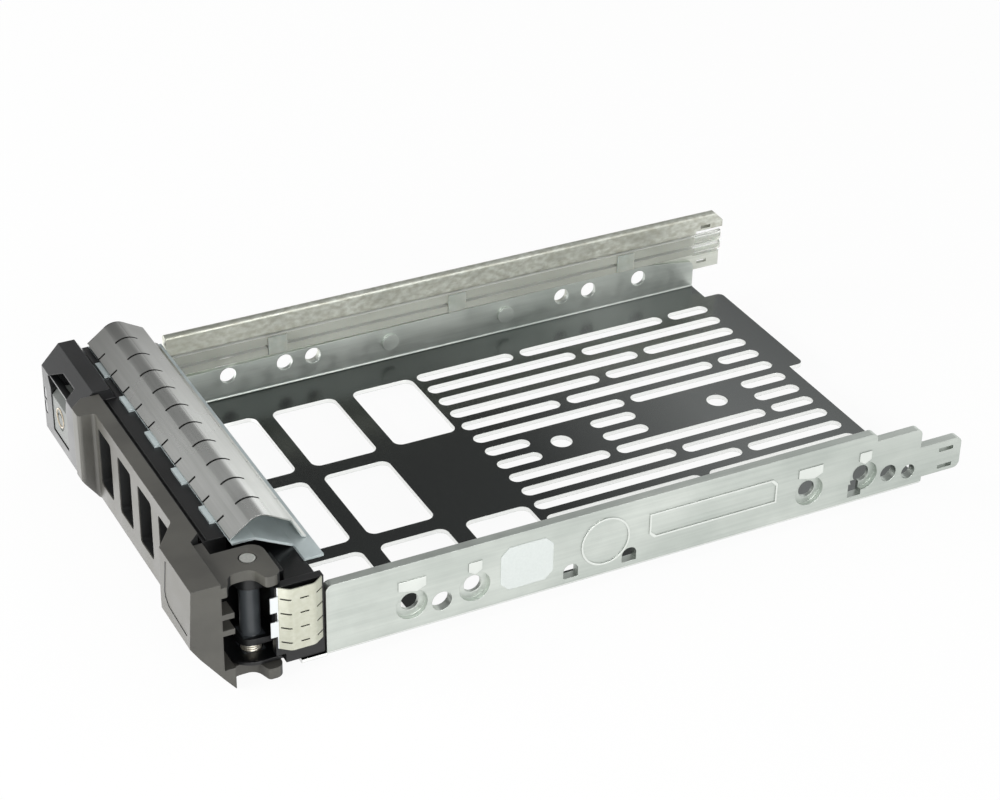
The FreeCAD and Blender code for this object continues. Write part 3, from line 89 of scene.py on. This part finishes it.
def coloured(tree, shader, pattern, low, high, dark, light):
    """Colour that goes from dark to light over the part of a pattern from low to high."""
    stops = [(low, linear(dark)), (high, linear(light))]
    ramp = add(tree, "ShaderNodeValToRGB", {"Fac": pattern}, stops=stops)
    tree.links.new(ramp.outputs["Color"], shader.inputs["Base Color"])


def roughened(tree, shader, pattern, low, high, smooth, rough):
    """Roughness that goes from smooth to rough over the part of a pattern from low to high."""
    limits = {"From Min": low, "From Max": high, "To Min": smooth, "To Max": rough}
    graded = add(tree, "ShaderNodeMapRange", {"Value": pattern}, limits)
    tree.links.new(graded.outputs["Result"], shader.inputs["Roughness"])


def relief(tree, shader, height, strength, depth_mm, edge_mm=0.2):
    """Surface relief of this depth, over edges that look rounded to this radius."""
    edge = add(tree, "ShaderNodeBevel", values={"Radius": edge_mm / 1000}, samples=4)
    links = {"Height": height, "Normal": edge.outputs["Normal"]}
    bump = add(tree, "ShaderNodeBump", links, {"Strength": strength, "Distance": depth_mm / 1000})
    tree.links.new(bump.outputs["Normal"], shader.inputs["Normal"])


def places(tree):
    """The object's own X, Y and Z, in metres, and the three parts of its surface normal."""
    coords = add(tree, "ShaderNodeTexCoord")
    place = add(tree, "ShaderNodeSeparateXYZ", {"Vector": coords.outputs["Object"]}).outputs
    facing = add(tree, "ShaderNodeSeparateXYZ", {"Vector": coords.outputs["Normal"]}).outputs
    return place, facing


def combined(tree, operation, *masks):
    """Masks put together: MULTIPLY where all of them hold, MAXIMUM where any one does."""
    whole = masks[0]
    for mask in masks[1:]:
        whole = add(tree, "ShaderNodeMath", {0: whole, 1: mask}, operation=operation).outputs[0]
    return whole


def inside(tree, *ranges):
    """1 where each value lies between its two limits, otherwise 0."""
    tests = []
    for value, low, high in ranges:
        tests.append(add(tree, "ShaderNodeMath", {0: value}, {1: low}, operation="GREATER_THAN").outputs[0])
        tests.append(add(tree, "ShaderNodeMath", {0: value}, {1: high}, operation="LESS_THAN").outputs[0])
    return combined(tree, "MULTIPLY", *tests)


def overlay(tree, shader, mask, code):
    """Lay a colour over the material's own where the mask is 1."""
    target = shader.inputs["Base Color"]
    links = {0: mask, 6: target.links[0].from_socket}
    mixed = add(tree, "ShaderNodeMix", links, {7: linear(code)}, data_type="RGBA")
    tree.links.new(mixed.outputs[2], target)


def altered(tree, shader, socket, mask, value):
    """Give one of the shader's plain numbers another value where the mask is 1."""
    target = shader.inputs[socket]
    before = {2: target.default_value, 3: value}
    mixed = add(tree, "ShaderNodeMix", {0: mask}, before, data_type="FLOAT")
    if target.links:
        tree.links.new(target.links[0].from_socket, mixed.inputs[2])
    tree.links.new(mixed.outputs[0], target)


def wear(node_names, made):
    """Give CAD nodes this material in all their slots."""
    for name in node_names:
        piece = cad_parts[name]
        if not piece.data.materials:
            piece.data.materials.append(made)
        for index in range(len(piece.data.materials)):
            piece.data.materials[index] = made


def zinc_plate(name, shade, bright, smooth, rough):
    """Zinc plate on rolled steel: rolling lines, blotches of brightness, small dull marks."""
    made, tree, shader = finish_named(name, Metallic=1.0)
    lines = grain(tree, 0.9, 45.0)
    blotches = grain(tree, 22.0, 34.0, 4.0)
    marks = grain(tree, 2.5, 3.5, 6.0)
    line_share = 0.35
    both = add(
        tree, "ShaderNodeMath", {0: lines, 2: blotches}, {1: line_share}, operation="MULTIPLY_ADD"
    )
    coloured(tree, shader, both.outputs["Value"], 0.45, 0.9, shade, bright)
    roughened(tree, shader, marks, 0.35, 0.65, smooth, rough)
    relief(tree, shader, lines, 0.25, 0.03)
    return made, tree, shader


sheet = 0.0011
outline_height = 0.0002
tray_low, tray_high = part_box("tray")
floor_top = tray_low[2] + sheet
wall_face = tray_high[0] - outline_height
tray_finish, tree, shader = zinc_plate("zinc plated steel sheet", "#b6bdb7", "#d7dcd6", 0.36, 0.45)
place, facing = places(tree)

# The outlines and badges stand out from the near wall: their faces get a painted highlight,
# and their side faces painted shade.
raised_painted_highlight = inside(tree, (place["X"], wall_face + 0.2 * outline_height, 1.0))
raised_painted_shade_edge = combined(tree, "MULTIPLY", raised_painted_highlight, inside(tree, (facing["X"], -0.7, 0.7)))
overlay(tree, shader, raised_painted_highlight, "#e6eae5")
overlay(tree, shader, raised_painted_shade_edge, "#7f867f")

# The floor's upper face, with its painted dark reflection, is smoother than the plating. The
# slots' punched edges are bare steel, painted near-white as a painted highlight.
floor_face_reach = 0.0002
floor_painted_dark = inside(
    tree,
    (place["Z"], floor_top - floor_face_reach, floor_top + 2 * floor_face_reach),
    (facing["Z"], 0.8, 1.1),
)
# Painted sheen: the floor's painted dark face turns paler over a band towards the rear.
sheen_starts = 0.005
sheen_full = 0.055
sheen_fades = 0.060
sheen_ends = 0.097
rise = add(
    tree,
    "ShaderNodeMapRange",
    {"Value": place["Y"]},
    {"From Min": sheen_starts, "From Max": sheen_full},
)
fall = add(
    tree,
    "ShaderNodeMapRange",
    {"Value": place["Y"]},
    {"From Min": sheen_fades, "From Max": sheen_ends, "To Min": 1.0, "To Max": 0.3},
)
painted_rear_sheen = combined(tree, "MULTIPLY", floor_painted_dark, rise.outputs["Result"], fall.outputs["Result"])
# Painted reflection: the floor's upper face is painted dark.
overlay(tree, shader, floor_painted_dark, "#505352")
overlay(tree, shader, painted_rear_sheen, "#8a8d8c")
altered(tree, shader, "Roughness", floor_painted_dark, 0.24)
# Painted highlight: the punched edges of the slots are painted near-white.
edge_inset = 0.00005
cut = inside(
    tree,
    (place["Z"], floor_top - sheet + edge_inset, floor_top - edge_inset),
    (facing["Z"], -0.5, 0.5),
)
overlay(tree, shader, cut, "#fbfcfa")
wear(["tray"], tray_finish)

# Side rail: the same plated sheet, hemmed along its top, riveted outside the far wall.
# It is duller than the tray, and its hem is stained in small blotches.
rail_finish, tree, shader = zinc_plate("zinc plated steel rail", "#b4b7ad", "#e4e7df", 0.4, 0.56)
stains = grain(tree, 1.1, 1.9, 5.0)
hem_depth = 0.0057
place, facing = places(tree)
hem = inside(tree, (place["Z"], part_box("side_rail")[1][2] - hem_depth, 1.0))
patchy = add(
    tree,
    "ShaderNodeMapRange",
    {"Value": stains},
    {"From Min": 0.35, "From Max": 0.65, "To Min": 0.1, "To Max": 0.7},
)
overlay(tree, shader, combined(tree, "MULTIPLY", hem, patchy.outputs["Result"]), "#a3a294")
wear(["side_rail"], rail_finish)

# Rail rivets: flush steel rivets that hold the rail to the far wall. They were set before the
# parts were plated, so they match the sheet.
rivet_finish = zinc_plate("zinc plated rivet", "#b9bfba", "#d2d7d1", 0.4, 0.5)[0]
wear(["rail_rivets"], rivet_finish)

# Light pipes: moulded clear acrylic, clipped to the rail's inner face. They read pale against
# it, with a painted highlight as thin bright lines along their tops, and are clearest where
# their rear ends stand free.


def varied(name, grain_mm, detail, colours, gloss, **sockets):
    """A material whose colour and roughness both follow one grain, this wide and this long."""
    made, tree, shader = finish_named(name, **sockets)
    pattern = grain(tree, *grain_mm, detail)
    coloured(tree, shader, pattern, 0.3, 0.7, *colours)
    roughened(tree, shader, pattern, 0.3, 0.7, *gloss)
    return made, tree, shader, pattern


acrylic, tree, shader = varied(
    "clear acrylic",
    (6.0, 40.0),
    1.0,
    ("#b4b7ad", "#c9ccc2"),
    (0.12, 0.22),
    IOR=1.49,
    Transmission_Weight=0.45,
)[:3]
free_length = 0.0085
place, facing = places(tree)
pipe_tops_painted_highlight = inside(tree, (facing["Z"], 0.5, 1.1))
free_ends = inside(tree, (place["Y"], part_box("light_pipe_upper")[1][1] - free_length, 1.0))
# Near-white: a painted highlight on the upward faces, and the clearer free ends.
overlay(tree, shader, combined(tree, "MAXIMUM", pipe_tops_painted_highlight, free_ends), "#f8faf6")
altered(tree, shader, "Transmission Weight", free_ends, 0.9)
wear(["light_pipe_upper", "light_pipe_lower"], acrylic)

# Clips: milky nylon, moulded, pushed over the pipes to hold them against the rail. Light
# scatters a little way into them.
nylon, tree, shader, cloud = varied(
    "milky nylon",
    (2.0, 2.0),
    3.0,
    ("#9d9c90", "#acaba0"),
    (0.35, 0.5),
    IOR=1.53,
    Subsurface_Weight=0.2,
)
relief(tree, shader, cloud, 0.1, 0.05)
wear(["pipe_clips"], nylon)

# Bezel: black ABS, injection moulded, riveted to the front of the tray. A fine spark-eroded
# grain, drawn at 0.35 mm so that it shows, breaks up the highlights on its slopes.
black_abs, tree, shader = finish_named("black moulded ABS", IOR=1.53)
pebbles = grain(tree, 0.35, 0.35, 2.0)
dust = grain(tree, 14.0, 20.0, 4.0)
coloured(tree, shader, dust, 0.4, 0.75, "#0b0c0d", "#141516")
roughened(tree, shader, dust, 0.3, 0.7, 0.3, 0.42)
relief(tree, shader, pebbles, 0.3, 0.04, 0.3)

# The knuckle round the hinge pin is painted grey, a painted sheen on the black plastic.
knuckle_sheen_abs = black_abs.copy()
knuckle_sheen_abs.name = "black ABS with painted knuckle sheen"
tree = knuckle_sheen_abs.node_tree
shader = tree.nodes["Principled BSDF"]
pin_low, pin_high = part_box("handle_pin")
pin_x = (pin_low[0] + pin_high[0]) / 2
pin_y = (pin_low[1] + pin_high[1]) / 2
knuckle_reach = 0.0025
place, facing = places(tree)
knuckle = inside(
    tree,
    (place["X"], pin_x - knuckle_reach, pin_x + knuckle_reach),
    (place["Y"], pin_y - knuckle_reach, pin_y + knuckle_reach),
)
# Painted sheen: grey laid over the black knuckle round the pin.
overlay(tree, shader, knuckle, "#3d4144")
wear(["bezel_frame"], knuckle_sheen_abs)


def flat_bar(name, low, high, body, made):
    """A bar between two corners, its edges bevelled, joined to a body."""
    mesh = bpy.data.meshes.new(name)
    form = bmesh.new()
    bmesh.ops.create_cube(form, size=1.0)
    for vertex in form.verts:
        for axis in range(3):
            vertex.co[axis] = high[axis] if vertex.co[axis] > 0 else low[axis]
    thin = min(high[axis] - low[axis] for axis in range(3))
    bmesh.ops.bevel(form, geom=form.edges[:], offset=thin * 0.35, segments=3, affect="EDGES")
    form.to_mesh(mesh)
    form.free()
    piece = bpy.data.objects.new(name, mesh)
    bpy.context.collection.objects.link(piece)
    piece.data.materials.append(made)
    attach(piece, body)


# A raised lip runs along the bezel's shelf, just behind the handle, to stiffen the moulding.
bezel_low, bezel_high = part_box("bezel_frame")
handle_low, handle_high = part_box("handle")
shelf_drop = 0.0028
lip_setback = 0.0070
lip_width = 0.0006
lip_height = 0.0004
lip_root = 0.0002
lip_end_inset = 0.0032
shelf_top = bezel_high[2] - shelf_drop
lip_front = bezel_low[1] + lip_setback
lip_near_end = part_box("top_gasket")[1][0] - lip_end_inset
flat_bar(
    "shelf_lip",
    (handle_low[0], lip_front, shelf_top - lip_root),
    (lip_near_end, lip_front + lip_width, shelf_top + lip_height),
    "caddy",
    black_abs,
)

# Status windows: smoked polycarbonate, moulded glossy, set in the bezel's far edge over the
# front ends of the light pipes.
smoked, tree, shader, haze = varied(
    "smoked polycarbonate",
    (1.5, 1.5),
    1.0,
    ("#0d0e10", "#16171a"),
    (0.12, 0.2),
    IOR=1.58,
)
relief(tree, shader, haze, 0.05, 0.02, 0.1)
wear(["status_window_upper", "status_window_lower"], smoked)

# Release button: moulded ABS with a light grey satin paint, guided in a pocket of the bezel's
# end block and pressed in with a finger.


def painted_abs(name, dark, light, smooth, rough):
    """Moulded ABS with a satin paint: even colour, fine speckle, softly broken gloss."""
    made, tree, shader = finish_named(name, IOR=1.5)
    speckle = grain(tree, 0.5, 0.5, 2.0)
    handling = grain(tree, 9.0, 12.0, 4.0)
    coloured(tree, shader, handling, 0.35, 0.7, dark, light)
    roughened(tree, shader, handling, 0.3, 0.7, smooth, rough)
    relief(tree, shader, speckle, 0.25, 0.03, 0.3)
    return made


def bent_rod(name, points, radius, body, made, closed=False):
    """A thin rod through these points, joined to a body."""
    curve = bpy.data.curves.new(name, "CURVE")
    curve.dimensions = "3D"
    curve.bevel_depth = radius
    curve.bevel_resolution = 3
    line = curve.splines.new("POLY")
    line.points.add(len(points) - 1)
    for knot, point in zip(line.points, points):
        knot.co = (*point, 1.0)
    line.use_cyclic_u = closed
    shaped = bpy.data.objects.new(name, curve)
    bpy.context.collection.objects.link(shaped)
    view = bpy.context.evaluated_depsgraph_get()
    drawn = bpy.data.meshes.new_from_object(shaped.evaluated_get(view))
    bpy.data.objects.remove(shaped)
    piece = bpy.data.objects.new(name, drawn)
    bpy.context.collection.objects.link(piece)
    piece.data.materials.clear()
    piece.data.materials.append(made)
    for face in piece.data.polygons:
        face.use_smooth = True
    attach(piece, body)


wear(["release_button"], painted_abs("light grey painted ABS", "#4d504e", "#585b58", 0.38, 0.48))

# A ring light guide is set in the button's face: tinted acrylic with a warm cast.
amber, tree, shader, swirl = varied(
    "amber tinted acrylic",
    (1.0, 1.0),
    1.0,
    ("#8f8472", "#a79a85"),
    (0.15, 0.25),
    IOR=1.49,
)
relief(tree, shader, swirl, 0.05, 0.05)
button_low, button_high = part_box("release_button")
ring_rise = 0.0058
ring_x = (button_low[0] + button_high[0]) / 2
ring_z = button_low[2] + ring_rise
ring_radius = 0.00235
ring_wire = 0.00022
ring_steps = 48
ring_middle = Vector((ring_x, button_low[1], ring_z))
turns = [2 * math.pi * step / ring_steps for step in range(ring_steps)]
ring = [ring_middle + ring_radius * Vector((math.cos(turn), 0, math.sin(turn))) for turn in turns]
bent_rod("button_ring", ring, ring_wire, "button", amber, closed=True)

# Handle: lever moulded in black ABS, hung on the hinge pin, its outside painted a warm metallic
# grey, satin. The paint stops at the vents' front edges, so the vents' walls and the pocket
# round the pin stay black. Its front faces show less gloss than its slopes.
paint = painted_abs("warm grey painted ABS", "#464541", "#504f4a", 0.36, 0.48)
tree = paint.node_tree
shader = tree.nodes["Principled BSDF"]
handle_top = handle_high[2]
web_setback = 0.0063
paint_wrap = 0.0003
vents_far_inset = 0.0085
vents_near_inset = 0.0255
vents_foot_drop = 0.0186
vents_head_drop = 0.0025
place, facing = places(tree)
vent_walls = inside(
    tree,
    (place["X"], handle_low[0] + vents_far_inset, handle_high[0] - vents_near_inset),
    (place["Y"], handle_low[1] + web_setback + paint_wrap, 0.0),
    (place["Z"], handle_top - vents_foot_drop, handle_top - vents_head_drop),
)
rearward = inside(tree, (facing["Y"], 0.5, 1.1))
overlay(tree, shader, combined(tree, "MAXIMUM", vent_walls, rearward), "#232424")
frontward = inside(tree, (facing["Y"], -1.1, -0.8))
altered(tree, shader, "Specular IOR Level", frontward, 0.28)
wear(["handle"], paint)

# A fine groove on the grip's front face bounds the panel that the thumb presses. It runs down
# from the top edge and then to the near side, over a face that leans forward as it goes down.
# It is drawn as a thin black rod: painted shade standing in for the groove's hollow.
grip_setback = 0.0008
grip_front_at_top = handle_low[1] + grip_setback
grip_lean = 0.056
groove_wire = 0.00014
in_and_down = [(0.0149, 0.0014), (0.0151, 0.0087), (0.0145, 0.0100), (0.0126, 0.0112), (0.0023, 0.0118)]
groove = [
    Vector((handle_high[0] - inward, grip_front_at_top - grip_lean * down, handle_top - down))
    for inward, down in in_and_down
]
bent_rod("grip_groove_shade_line", groove, groove_wire, "handle", black_abs)

# Hinge pin, its retaining ring and the bezel's rivets: turned and stamped steel, plated, with
# fine turning marks that soften the gloss.
plated, tree, shader, turned = varied(
    "bright plated steel",
    (0.7, 0.7),
    1.0,
    ("#e4e6e0", "#eff0ea"),
    (0.38, 0.44),
    Metallic=1.0,
)
relief(tree, shader, turned, 0.06, 0.02, 0.15)
wear(["handle_pin", "pin_clip", "bezel_rivets"], plated)

# Torsion spring: drawn spring steel wire, zinc plated, coiled round the foot of the pin. It is
# paler and warmer than the pin, and less glossy.
spring_steel, tree, shader, drawing = varied(
    "pale plated spring wire",
    (0.3, 0.3),
    2.0,
    ("#efe9da", "#f7f3e8"),
    (0.45, 0.55),
    Metallic=1.0,
)
relief(tree, shader, drawing, 0.05, 0.02, 0.1)
wear(["torsion_spring"], spring_steel)

# Top spring strip: thin nickel-plated spring steel, formed to a crown, slit into fingers and
# laid over the shield plate along the bezel's top. It is bright, with faint rolling lines. It is
# darkened with painted shade towards the far end, most of all on its rear slope, and each slit
# has dark lines of painted shade.


def nickel_strip(name, dark, light, smooth, rough):
    """Nickel-plated strip: faint lines along X, smudges that change its gloss."""
    made, tree, shader = finish_named(name, Metallic=1.0)
    lines = grain(tree, 1.11, 33.3, axis="X")
    coloured(tree, shader, lines, 0.3, 0.7, dark, light)
    smudge = grain(tree, 14.0, 14.0, 4.0)
    roughened(tree, shader, smudge, 0.3, 0.7, smooth, rough)
    relief(tree, shader, lines, 0.06, 0.01, 0.1)
    return made, tree, shader


strip_finish, tree, shader = nickel_strip("bright nickel strip", "#dcdeda", "#ecedea", 0.24, 0.34)
strip_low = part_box("top_gasket")[0]
place, facing = places(tree)
shade_inset = 0.0027
shade_from = strip_low[0] + shade_inset
shade_to = 0.0
shade_to_behind = 0.03
painted_shade_far = add(
    tree,
    "ShaderNodeMapRange",
    {"Value": place["X"]},
    {"From Min": shade_from, "From Max": shade_to, "To Min": 0.75, "To Max": 0.0},
)
painted_shade_far_behind = add(
    tree,
    "ShaderNodeMapRange",
    {"Value": place["X"]},
    {"From Min": shade_from, "From Max": shade_to_behind, "To Min": 1.0, "To Max": 0.0},
)
rear_slope_painted_shade = inside(tree, (facing["Y"], 0.2, 1.1))
rear_slope_painted_shade = combined(tree, "MULTIPLY", rear_slope_painted_shade, painted_shade_far_behind.outputs["Result"])
# Painted shade: the strip darkens towards its far end, most on its rear slope.
overlay(tree, shader, combined(tree, "MAXIMUM", painted_shade_far.outputs["Result"], rear_slope_painted_shade), "#868683")

slit_inset = 0.00828
slit_first = strip_low[0] + slit_inset
slit_pitch = 0.00836
slit_half = 0.00032
from_first = add(tree, "ShaderNodeMath", {0: place["X"]}, {1: slit_first}, operation="SUBTRACT")
from_nearest = add(
    tree, "ShaderNodeMath", {0: from_first.outputs[0]}, {1: slit_pitch / 2}, operation="PINGPONG"
)
painted_slit_shade = inside(tree, (from_nearest.outputs[0], -slit_half, slit_half))
crown_starts = 0.0043
crown_ends = 0.0098
front_slit_from = -0.0004
front_slit_to = 0.0016
crown = inside(tree, (place["Y"], strip_low[1] + crown_starts, strip_low[1] + crown_ends))
front_edge = inside(tree, (place["Y"], strip_low[1] + front_slit_from, strip_low[1] + front_slit_to))
slit_rows = combined(tree, "MAXIMUM", crown, front_edge)
# Painted shade: dark lines along each slit, where the gaps between the fingers fall dark.
overlay(tree, shader, combined(tree, "MULTIPLY", painted_slit_shade, slit_rows), "#3c3c3a")
wear(["top_gasket"], strip_finish)

# Side spring strip: nickel-plated spring steel too, bulging from the bezel's near cheek, with a
# satin, warmer plating. Its two front tabs, which reach into the cheek, look bluer.
side_finish, tree, shader = nickel_strip("satin nickel strip", "#c9cab9", "#d4d5c7", 0.4, 0.5)
tab_length = 0.0018
tabs_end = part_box("side_gasket")[0][1] + tab_length
place, facing = places(tree)
overlay(tree, shader, inside(tree, (place["Y"], -1.0, tabs_end)), "#eef2f3")
wear(["side_gasket"], side_finish)

# Shield plate: pressed steel sheet under the top spring strip, with a dull blue-white
# passivated zinc coat, which scatters light where the strip above it mirrors it.
passivated, tree, shader, clouds = varied(
    "blue passivated zinc",
    (5.0, 5.0),
    4.0,
    ("#bfcacb", "#ccd7d8"),
    (0.4, 0.55),
    IOR=1.6,
    Metallic=0.25,
)
relief(tree, shader, clouds, 0.1, 0.02, 0.1)
wear(["shield_plate"], passivated)

# Label: plain white coated paper, cut with rounded corners and stuck to the near wall. It looks
# flat and even beside the metal.
paper, tree, shader, fibre = varied(
    "white label paper",
    (0.6, 0.6),
    4.0,
    ("#bdc2c0", "#c3c8c6"),
    (0.45, 0.6),
    IOR=1.5,
)
relief(tree, shader, fibre, 0.1, 0.02, 0.05)
wear(["label"], paper)

# Stage: a pale table that glows white to the camera and in reflections, as a lit white sweep in
# a studio does. Reflections show it brightest in front of the caddy. From below it is unseen.
table_size = 6.0
table_drop = 0.0002
bpy.ops.mesh.primitive_plane_add(size=table_size, location=(0, 0, -table_drop))
table = bpy.context.object
table.name = "table"
table_finish = bpy.data.materials.new("white sweep")
table_finish.use_nodes = True
tree = table_finish.node_tree
tree.nodes.clear()

# The bright zone's rear edge slants across the table, and stops slanting beyond the far side.
zone_far_limit = -0.075
zone_slope = 0.5
zone_level = 2.7
zone_ends = -0.077
plain_starts = -0.069
ground = add(tree, "ShaderNodeNewGeometry")
spot = add(tree, "ShaderNodeSeparateXYZ", {"Vector": ground.outputs["Position"]})
outward = add(tree, "ShaderNodeMath", {0: spot.outputs["X"]}, {1: zone_far_limit}, operation="MAXIMUM")
slant = add(
    tree,
    "ShaderNodeMath",
    {0: outward.outputs[0], 2: spot.outputs["Y"]},
    {1: zone_slope},
    operation="MULTIPLY_ADD",
)
front_lit = add(
    tree,
    "ShaderNodeMapRange",
    {"Value": slant.outputs[0]},
    {"From Min": zone_ends, "From Max": plain_starts, "To Min": zone_level, "To Max": 1.0},
)
path = add(tree, "ShaderNodeLightPath").outputs
gleam = combined(tree, "MULTIPLY", front_lit.outputs["Result"], path["Is Glossy Ray"])
level = add(tree, "ShaderNodeMath", {0: gleam}, {1: 1.0}, operation="MAXIMUM")

# How much of the table is glow rather than lit matt paint, for each kind of ray.
camera_share = 0.93
glossy_share = 0.8
clear_share = 0.93
seen = add(tree, "ShaderNodeMath", {0: path["Is Camera Ray"]}, {1: camera_share}, operation="MULTIPLY")
mirrored = add(tree, "ShaderNodeMath", {0: path["Is Glossy Ray"]}, {1: glossy_share}, operation="MULTIPLY")
through = add(
    tree, "ShaderNodeMath", {0: path["Is Transmission Ray"]}, {1: clear_share}, operation="MULTIPLY"
)
share = combined(tree, "MAXIMUM", seen.outputs[0], mirrored.outputs[0], through.outputs[0])
matt = add(tree, "ShaderNodeBsdfDiffuse", values={"Color": linear("#f2f2f0")})
glow = add(tree, "ShaderNodeEmission", {"Strength": level.outputs[0]}, {"Color": linear("#ffffff")})
mixed = add(tree, "ShaderNodeMixShader", {0: share, 1: matt.outputs[0], 2: glow.outputs[0]})
unseen = add(tree, "ShaderNodeBsdfTransparent")
sides = {0: ground.outputs["Backfacing"], 1: mixed.outputs[0], 2: unseen.outputs[0]}
sided = add(tree, "ShaderNodeMixShader", sides)
add(tree, "ShaderNodeOutputMaterial", {"Surface": sided.outputs[0]})
table.data.materials.append(table_finish)

# Surroundings: white to the camera. They light the caddy brightly from round the horizon and
# from behind, and are darker overhead.
world = bpy.data.worlds.new("studio")
bpy.context.scene.world = world
world.use_nodes = True
tree = world.node_tree
tree.nodes.clear()
coords = add(tree, "ShaderNodeTexCoord")
direction = add(tree, "ShaderNodeSeparateXYZ", {"Vector": coords.outputs["Generated"]})
sky_stops = [
    (0.0, (1.0, 1.0, 0.99, 1)),
    (0.2, (1.0, 1.0, 1.0, 1)),
    (0.34, (0.6, 0.6, 0.6, 1)),
    (0.5, (0.15, 0.15, 0.15, 1)),
    (0.66, (0.3, 0.3, 0.3, 1)),
    (1.0, (0.5, 0.51, 0.51, 1)),
]
sky = add(tree, "ShaderNodeValToRGB", {"Fac": direction.outputs["Z"]}, stops=sky_stops)
behind = add(
    tree,
    "ShaderNodeMapRange",
    {"Value": direction.outputs["Y"]},
    {"From Min": 0.4, "From Max": 0.62},
)
overhead = add(
    tree,
    "ShaderNodeMix",
    {0: behind.outputs["Result"], 6: sky.outputs["Color"]},
    {7: (0.95, 0.96, 0.96, 1)},
    data_type="RGBA",
)
surround = add(tree, "ShaderNodeBackground", {"Color": overhead.outputs[2]}, {"Strength": 1.0})
white = add(tree, "ShaderNodeBackground", values={"Color": linear("#ffffff"), "Strength": 1.0})
path = add(tree, "ShaderNodeLightPath").outputs
either = {0: path["Is Camera Ray"], 1: surround.outputs[0], 2: white.outputs[0]}
mixed = add(tree, "ShaderNodeMixShader", either)
add(tree, "ShaderNodeOutputWorld", {"Surface": mixed.outputs[0]})

# Two softboxes: one in front, which lights the faces but isn't mirrored in them, and one on the
# near side.


def softbox(name, azimuth, elevation, distance, width, height, watts, mirrored):
    """A rectangular soft light that faces the caddy from that side, sizes in metres."""
    around = math.radians(azimuth)
    rise = math.radians(elevation)
    away = Vector((
        math.sin(around) * math.cos(rise),
        -math.cos(around) * math.cos(rise),
        math.sin(rise),
    ))
    caddy_middle = Vector((0, 0, 0.01))
    lamp = bpy.data.lights.new(name, "AREA")
    lamp.shape = "RECTANGLE"
    lamp.size = width
    lamp.size_y = height
    lamp.energy = watts
    holder = bpy.data.objects.new(name, lamp)
    bpy.context.collection.objects.link(holder)
    holder.location = away * distance + caddy_middle
    holder.rotation_euler = away.to_track_quat("Z", "Y").to_euler()
    holder.visible_glossy = mirrored


softbox(
    "front softbox",
    azimuth=-8,
    elevation=16,
    distance=1.1,
    width=0.9,
    height=0.5,
    watts=17.0,
    mirrored=False,
)
softbox(
    "near side softbox",
    azimuth=86,
    elevation=15,
    distance=1.1,
    width=0.7,
    height=0.4,
    watts=8.5,
    mirrored=True,
)

# Camera: where the photograph's stood, beyond the near front corner, looking down the tray. Its
# place is measured from the floor's upper face in line with the front mounting holes, where the
# fit to the photograph has its origin.
azimuth = math.radians(62.2414)
elevation = math.radians(31.5851)
roll = math.radians(1.1969)
fitted_point = Vector((-0.0008, -0.0471, 0.0033))
to_right = 0.0436691
to_up = 0.0238624
to_back = 0.5817008
back = Vector((
    math.sin(azimuth) * math.cos(elevation),
    -math.cos(azimuth) * math.cos(elevation),
    math.sin(elevation),
))
level_right = Vector((0, 0, 1)).cross(back).normalized()
level_up = back.cross(level_right)
right = math.cos(roll) * level_right + math.sin(roll) * level_up
up = math.cos(roll) * level_up - math.sin(roll) * level_right
stand = fitted_point + right * to_right + up * to_up + back * to_back
lens = bpy.data.cameras.new("photograph view")
lens.sensor_width = 36.0
lens.lens = 89.955
lens.clip_start = 0.01
camera = bpy.data.objects.new("photograph view", lens)
bpy.context.collection.objects.link(camera)
turned_to = Matrix((right, up, back)).transposed().to_4x4()
camera.matrix_world = Matrix.Translation(stand) @ turned_to
bpy.context.scene.camera = camera

bpy.context.scene.view_settings.view_transform = "Standard"
